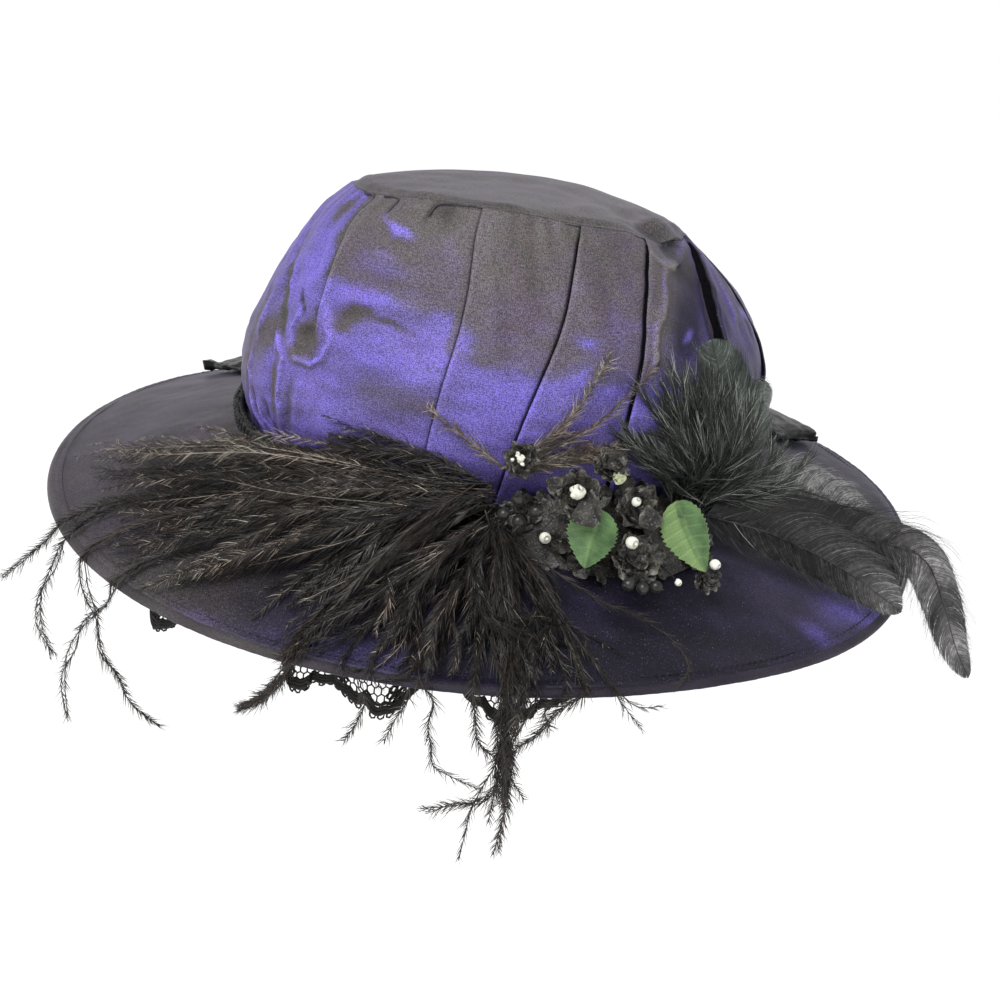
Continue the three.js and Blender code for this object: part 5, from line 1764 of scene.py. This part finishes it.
def egg(centre, radius, stretch=1.0, facing=(0, 0, 1), sides=14, rings=9):
    """A closed round bead."""
    side, up, face = turned_to(np.asarray(facing, float) + (0.01, 0, 0))
    polar = np.linspace(0, np.pi, rings)[1:-1, None]
    turn = np.linspace(0, 2 * np.pi, sides, endpoint=False)[None, :]
    x = np.sin(polar) * np.cos(turn)
    y = np.sin(polar) * np.sin(turn)
    z = np.cos(polar) * stretch + 0 * turn
    ring = (x[..., None] * side + y[..., None] * up + z[..., None] * face) * radius
    poles = [face * radius * stretch, -face * radius * stretch]
    points = np.concatenate([ring.reshape(-1, 3), poles]) + centre
    count = (rings - 2) * sides
    j = np.arange(sides)
    k = (j + 1) % sides
    top = np.stack([j, k, np.full(sides, count)], -1)
    low = np.stack([k, j, np.full(sides, count + 1)], -1)
    low[:, :2] += (rings - 3) * sides
    return points, [grid_faces(rings - 2, sides, True), top, low]


def seat_behind(point):
    """The place in the flowers' backing behind a point."""
    angle = np.degrees(np.arctan2(point[1] / BASE[1], point[0] / BASE[0]))
    return brim_point(np.clip(angle, -82, -47), across_of(14.6), 5.0)


# Stamens: place and radius of the bead, length of its thread, how lumpy it is and how many chips lie round it
STAMENS = (
    ((33, -112.8, 25), 2.5, 6, 0.12, 3),
    ((54, -106, 21.5), 1.7, 6, 0.04, 0),
    ((54, -114.5, 9.5), 2.3, 6, 0.04, 0),
    ((12, -104.6, 31.2), 1.3, 3.6, 0.25, 7),
    ((24, -112, 6), 2.1, 12, 0.04, 0),
    ((84.5, -110, 3.5), 1.9, 4, 0.04, 0),
    ((72, -116, -2.5), 1.2, 14, 0.2, 0),
)


def stamen_material():
    """Waxed cream beads with a faint mottle."""
    s = Shader("stamen")
    mottle = s.noise(s.place(), 420.0, 3.0, 0.6)
    return s.finish(
        Base_Color=s.blend(s.spread(mottle, 0.35, 0.65), colour(244, 238, 214), colour(252, 250, 240)),
        Roughness=0.4,
        Subsurface_Weight=0.1,
        Normal=s.bump(mottle, 0.15, 0.5),
    )


STAMEN = stamen_material()


def stamen(number, centre, radius, thread, lumpy, chips):
    """A waxed bead on a dark thread, in two cases with small white chips round it."""
    centre = np.array(centre, float)
    towards = unit(seat_behind(centre) - centre)
    build = Build()
    spots = [(centre, radius)]
    for _ in range(chips):
        place = centre + rng.normal(0, 0.8 * radius + 0.6, 3) * (1, 0.4, 0.8)
        spots.append((place, radius * rng.uniform(0.3, 0.75)))
    for place, size in spots:
        points, faces = egg(np.zeros(3), 1.0, 1.1, -towards)
        lump = 1 + lumpy * ripple(points[:, 0] + points[:, 1], points[:, 2], 1.3, int(rng.integers(1 << 30)))
        build.add(place + points * lump[:, None] * size, faces)
    path = spline([centre, centre + towards * thread * 0.5 + (0, 0, 0.4), centre + towards * thread], 8)
    build.add(*tubes(path[None], 0.3, 5), mark=1)
    return dress(build, f"stamen_{number}_bead", f"stamen_{number}", "stamen", STAMEN, LACE)


LEAVES = (
    ("leaf_left", (41.5, -111, 19), (38.5, -121, 0.5), 19, 2.2, 0.0),
    ("leaf_right", (68, -104, 23), (81, -113, 1.5), 18, 4.5, 0.55),
)


def leaf_material():
    """Pressed green cloth: a dotted weave, paler veins, and a paler, yellower edge that is a painted
    highlight.
    """
    s = Shader("leaf")
    cloth = s.uv("leaf")
    vein = s.attribute("vein")
    dots = s.add("TexVoronoi", 0, None, Vector=cloth, Scale=1000.0, Randomness=0.12)
    mottle = s.noise(cloth, 140.0, 3.0)
    base = s.blend(s.spread(mottle, 0.35, 0.65), colour(54, 86, 45), colour(92, 128, 74))
    base = s.blend(vein, base, colour(140, 168, 106))
    base = s.blend(s.spread(dots, 0.0, 0.5, 0.24, 0.0), base, colour(30, 50, 24))
    return s.finish(Base_Color=base, Roughness=0.62, Sheen_Weight=0.15, Normal=s.bump(dots, 0.12, 0.7))


LEAF = leaf_material()


def leaf(name, stem, tip, width, fold, pale):
    """A serrated leaf with a sunk midrib and side veins, its halves folded up along the midrib."""
    stem = np.array(stem, float)
    tip = np.array(tip, float)
    along = tip - stem
    across = unit(np.cross(along, (0.1, -0.9, 0.45)))
    up = -unit(np.cross(across, along))
    rows = 61
    columns = 31
    teeth = 14
    u = np.linspace(0, 1, rows)[:, None]
    v = np.linspace(-1, 1, columns)[None, :]
    tooth = (u * teeth) % 1
    edge = 1 - 0.15 * tooth * ease(u, 0.02, 0.1)
    half = np.maximum(0.25, width / 2 * np.sin(np.pi * u ** 0.72) ** 0.75 * edge)
    vein_line = np.abs(((u * 7 - np.abs(v) * 0.55) % 1) - 0.5)
    ribs = ease(vein_line, 0.14, 0.0) * ease(np.abs(v), 1.0, 0.85)
    middle = np.exp(-((v * half / 0.7) ** 2))
    lift = fold * np.abs(v) * half / (width / 2) + 1.2 * np.sin(np.pi * u)
    lift = lift + (0.28 + 0.5 * pale) * ribs - 0.5 * middle
    lift = lift + 0.5 * ripple(u * 20, v * half, 11, 81)
    upper = stem + along * u[..., None] + across * (v * half)[..., None] + up * lift[..., None]
    lower = upper - up * 0.35
    count = rows * columns
    rim = np.concatenate([
        np.arange(columns),
        np.arange(1, rows) * columns + columns - 1,
        (rows - 1) * columns + np.arange(columns - 2, -1, -1),
        np.arange(rows - 2, 0, -1) * columns,
    ])
    after = np.roll(rim, -1)
    wall = np.stack([rim, after, after + count, rim + count], -1)
    faces = grid_faces(rows, columns, False)
    flat = np.stack([v * half + 0 * u, u * 22 + 0 * v], -1).reshape(-1, 2) * MM
    # Paler veins and midrib, with painted highlights: a paler edge and, on the right leaf, a paler half where
    # the fold faces the light
    paint = (0.16 + 0.4 * pale) * ribs + 0.2 * middle + 0.45 * ease(np.abs(v), 0.93, 1.0)
    paint = paint + pale * ease(v, 0.05, 0.3)
    paint = np.clip(paint + 0.12 * ripple(u * 20, v * half, 9, 82), 0, 1).ravel()
    build = Build()
    build.add(
        np.concatenate([upper.reshape(-1, 3), lower.reshape(-1, 3)]),
        [faces, faces[:, ::-1] + count, wall[:, ::-1]],
        leaf=np.concatenate([flat, flat]),
        vein=np.concatenate([paint, paint]),
    )
    path = spline([stem + along * 0.2 - up * 0.6, mix(stem, seat_behind(stem), 0.5), seat_behind(stem)], 8)
    points, faces = tubes(path[None], 0.5, 5)
    build.add(points, faces, leaf=np.zeros((len(points), 2)), vein=np.zeros(len(points)))
    return dress(build, f"{name}_cloth", name, "leaf", LEAF)


BERRY = plain_cloth("berry", colour(12, 12, 11), colour(44, 43, 40), 0.34, 300.0, 0.3, 0.06)
BERRIES = (
    {
        "name": "berries_left", "hub": (14, -107.6, 14), "seat": (18, -98, 5),
        "fruits": ((13, -110, 18), (19.5, -111, 15), (14, -111, 10.5), (8.6, -109, 11.5)),
    },
    {
        "name": "berries_right", "hub": (59, -118.6, -2.4), "seat": (66, -101, -6.5),
        "fruits": ((54.5, -121.5, -3.2), (59.4, -122, -3.6), (64, -120.5, -3.2)),
    },
)


def berries(name, hub, seat, fruits):
    """A bunch of berries on short stalks from a hub, and a stalk from the hub to its seat."""
    hub = np.array(hub, float)
    build = Build()
    build.add(*egg(hub, 2.6, 0.9, (0, -0.8, 0.6)))
    build.add(*tubes(spline([hub, mix(hub, np.array(seat, float), 0.5), seat], 8)[None], 0.7, 5))
    for fruit in np.array(fruits, float):
        out = unit(fruit - hub)
        build.add(*tubes(spline([hub, mix(hub, fruit, 0.5) + (0, 0, 0.3), fruit], 7)[None], 0.45, 5))
        build.add(*egg(fruit, 2.25, 1.08, out, 18, 12))
        build.add(*egg(fruit + out * 2.3, 0.55, 1.0, out, 8, 6))
    return dress(build, f"{name}_bunch", name, "berry", BERRY)


# Bow

def satin_material():
    """Black satin ribbon, creased, with painted highlights on its crinkles."""
    s = Shader("satin")
    cloth = s.uv("ribbon")
    weave = s.noise(s.scaled(cloth, 400.0, 3000.0, 1.0), 1.0, 2.0)
    crinkle_shine = s.noise(cloth, 110.0, 3.0, 0.6)
    # Darker and lighter with the crinkles, and pale grey painted highlights where they rise highest
    base = s.blend(s.spread(crinkle_shine, 0.35, 0.65), colour(7, 8, 8), colour(24, 26, 26))
    base = s.blend(s.spread(crinkle_shine, 0.58, 0.74), base, colour(96, 100, 100))
    return s.finish(
        Base_Color=base,
        Roughness=s.spread(weave, 0.3, 0.7, 0.26, 0.36),
        Specular_IOR_Level=0.16,
        Normal=s.bump(s.math("ADD", s.math("MULTIPLY", weave, 0.15), crinkle_shine), 1.2, 0.9),
    )


SATIN = satin_material()
BOW_WIDTH = 40.0
RIBBON_THICKNESS = 0.5
STATION_LENGTH = 14

# Loops of the bow: their angles at the knot and at their end, how far across the brim the end lies, and how
# high the loop stands
BOW_LOOPS = (
    ("bow_loop_left", 92.5, 146, 0.62, 6),
    ("bow_loop_right", 87.5, 26, 0.66, 9),
)


def bow_loop(name, knot_angle, end_angle, across, rise):
    """A ribbon that goes out along the brim, turns back over itself and returns to the knot."""
    stations = table(
        "part above fill",
        (0, 3, 0.4),
        (0.3, 2.4, 0.8),
        (0.7, 2.4, 1),
        (0.97, 3.2, 0.95),
        (1, rise * 0.4, 0.85),
        (0.94, rise * 0.75, 0.95),
        (0.7, rise, 1),
        (0.3, rise, 0.8),
        (0, 10, 0.4),
    )
    keys = np.arange(len(stations["part"]), dtype=float)
    rows = 90
    columns = 25
    at = np.linspace(0, keys[-1], rows)
    part, above, fill = (smooth(keys, stations[name], at) for name in ("part", "above", "fill"))
    angle = mix(knot_angle, end_angle, part)
    place = mix(0.44, across, part)
    middle = brim_point(angle, place, above)
    radial = unit(brim_point(angle, place + 0.1, above) - brim_point(angle, place - 0.1, above))
    along = unit(np.gradient(middle, axis=0))
    side = unit(radial - along * (radial * along).sum(-1, keepdims=True))
    up = unit(np.cross(side, along))
    v = np.linspace(-1, 1, columns)
    half = BOW_WIDTH * fill / 2
    gather = 1 - ease(part, 0.0, 0.6)
    pleat = 0.9 * gather[:, None] * np.cos(v * 11)[None, :]
    lengthwise = at[:, None] * STATION_LENGTH
    crosswise = v[None, :] * BOW_WIDTH / 2
    crinkle = 0.7 * ripple(lengthwise, crosswise, 15, 91) + 0.25 * ripple(lengthwise, crosswise, 6, 92)
    raised = up[:, None] * (pleat + crinkle)[..., None]
    sheet = middle[:, None] + side[:, None] * (v[None, :, None] * half[:, None, None]) + raised
    half_thick = up[:, None] * RIBBON_THICKNESS / 2
    both = np.concatenate([sheet + half_thick, (sheet - half_thick)[:, ::-1]], 1)
    ring = 2 * columns
    count = rows * ring
    j = np.arange(columns - 1)
    end = np.stack([j, j + 1, ring - 2 - j, ring - 1 - j], -1)
    there_and_back = np.concatenate([v, v[::-1]])[None, :] * half[:, None]
    flat = np.stack([there_and_back, np.broadcast_to(lengthwise, there_and_back.shape)], -1)
    build = Build()
    build.add(
        both,
        [grid_faces(rows, ring, True), end[:, ::-1], end + count - ring],
        ribbon=flat.reshape(-1, 2) * MM,
    )
    piece = dress(build, f"{name}_ribbon", name, "satin", SATIN)
    return piece


def bow_knot():
    """The wrapped knot, with soft pleats round it."""
    centre = brim_point(90, 0.46, 7)
    points, faces = egg(np.zeros(3), 1.0, 1.0, (0, 0.2, 1), 48, 24)
    turn = np.arctan2(points[:, 0], points[:, 2])
    pleat = 1 + 0.05 * np.cos(7 * points[:, 1] * 2.2) * np.abs(np.cos(turn * 0.5))
    shaped = centre + points * (8.2, 12.0, 6.9) * pleat[:, None]
    build = Build()
    build.add(shaped, faces, ribbon=points[:, :2] * 0.01)
    return dress(build, "bow_knot_wrap", "bow_knot", "satin", SATIN)


# Studio

# How bright the sky is overhead, beside 1 near the horizon
SKY = 0.45


def add_camera():
    """The photo's view: 20 degrees above the brim, leaning 7.5 degrees to the side."""
    lean = np.radians(7.5)
    above = np.radians(20)
    distance = 655 * MM
    back = Vector((0, -np.cos(above), np.sin(above)))
    level = Vector((1, 0, 0))
    upright = Vector((0, np.sin(above), np.cos(above)))
    right = level * np.cos(lean) + upright * np.sin(lean)
    up = upright * np.cos(lean) - level * np.sin(lean)
    data = bpy.data.cameras.new("camera")
    data.sensor_width = 36
    data.lens = 56.52
    data.shift_x = 0.011
    data.shift_y = -0.064
    camera = bpy.data.objects.new("camera", data)
    turn = Matrix((right, up, back)).transposed().to_4x4()
    camera.matrix_world = Matrix.Translation(back * distance) @ turn
    bpy.context.collection.objects.link(camera)
    bpy.context.scene.camera = camera


def add_light(kind, name, place, size, power):
    """A soft light aimed at the hat: an area of some metres, or a broad sun of some degrees."""
    data = bpy.data.lights.new(name, kind)
    data.energy = power
    if kind == "SUN":
        data.angle = np.radians(size)
    else:
        data.size = size
    light = bpy.data.objects.new(name, data)
    light.location = place
    light.rotation_euler = (-Vector(place)).to_track_quat("-Z", "Y").to_euler()
    bpy.context.collection.objects.link(light)


def add_floor():
    """A wide white floor, well below the hat."""
    reach = 30.0
    height = -0.8
    mesh = bpy.data.meshes.new("floor")
    mesh.from_pydata(
        [(-reach, -reach, height), (reach, -reach, height), (reach, reach, height), (-reach, reach, height)],
        [],
        [(0, 1, 2, 3)],
    )
    mesh.materials.append(floor_material())
    floor = bpy.data.objects.new("floor", mesh)
    bpy.context.collection.objects.link(floor)


def add_world():
    """A white studio: bright near the horizon, dimmer overhead."""
    world = bpy.data.worlds.new("studio")
    world.use_nodes = True
    nodes = world.node_tree.nodes
    links = world.node_tree.links
    height = nodes.new("ShaderNodeSeparateXYZ")
    links.new(nodes.new("ShaderNodeTexCoord").outputs["Generated"], height.inputs[0])
    strength = nodes.new("ShaderNodeMapRange")
    for socket, value in zip(list(strength.inputs)[1:5], (0.1, 0.5, 1.0, SKY)):
        socket.default_value = value
    links.new(height.outputs["Z"], strength.inputs[0])
    links.new(strength.outputs[0], nodes["Background"].inputs["Strength"])
    nodes["Background"].inputs["Color"].default_value = (1, 1, 1, 1)
    bpy.context.scene.world = world


add_camera()
add_world()
add_floor()
add_light("SUN", "key", (-0.5, -0.75, 1.3), 35, 2.3)
add_light("AREA", "fill", (1.3, -0.9, 0.9), 1.2, 3)
add_light("AREA", "back", (0.3, 1.4, 1.2), 1.0, 4)
bpy.context.scene.view_settings.view_transform = "Standard"

crown_side()
crown_tip()
brim_cloth()
rolled_edge()
braid()
lace()
ostrich_spray()
ostrich_fall()
ostrich_wisps()
hackle_tuft()
for number, row in enumerate(COQUE, 1):
    coque_feather(number, **row)
flower_backing()
for number, (centre, facing, reach) in enumerate(BLOSSOMS, 1):
    blossom(number, centre, facing, reach)
for number, row in enumerate(STAMENS, 1):
    stamen(number, *row)
for row in LEAVES:
    leaf(*row)
for row in BERRIES:
    berries(**row)
for row in BOW_LOOPS:
    bow_loop(*row)
bow_knot()
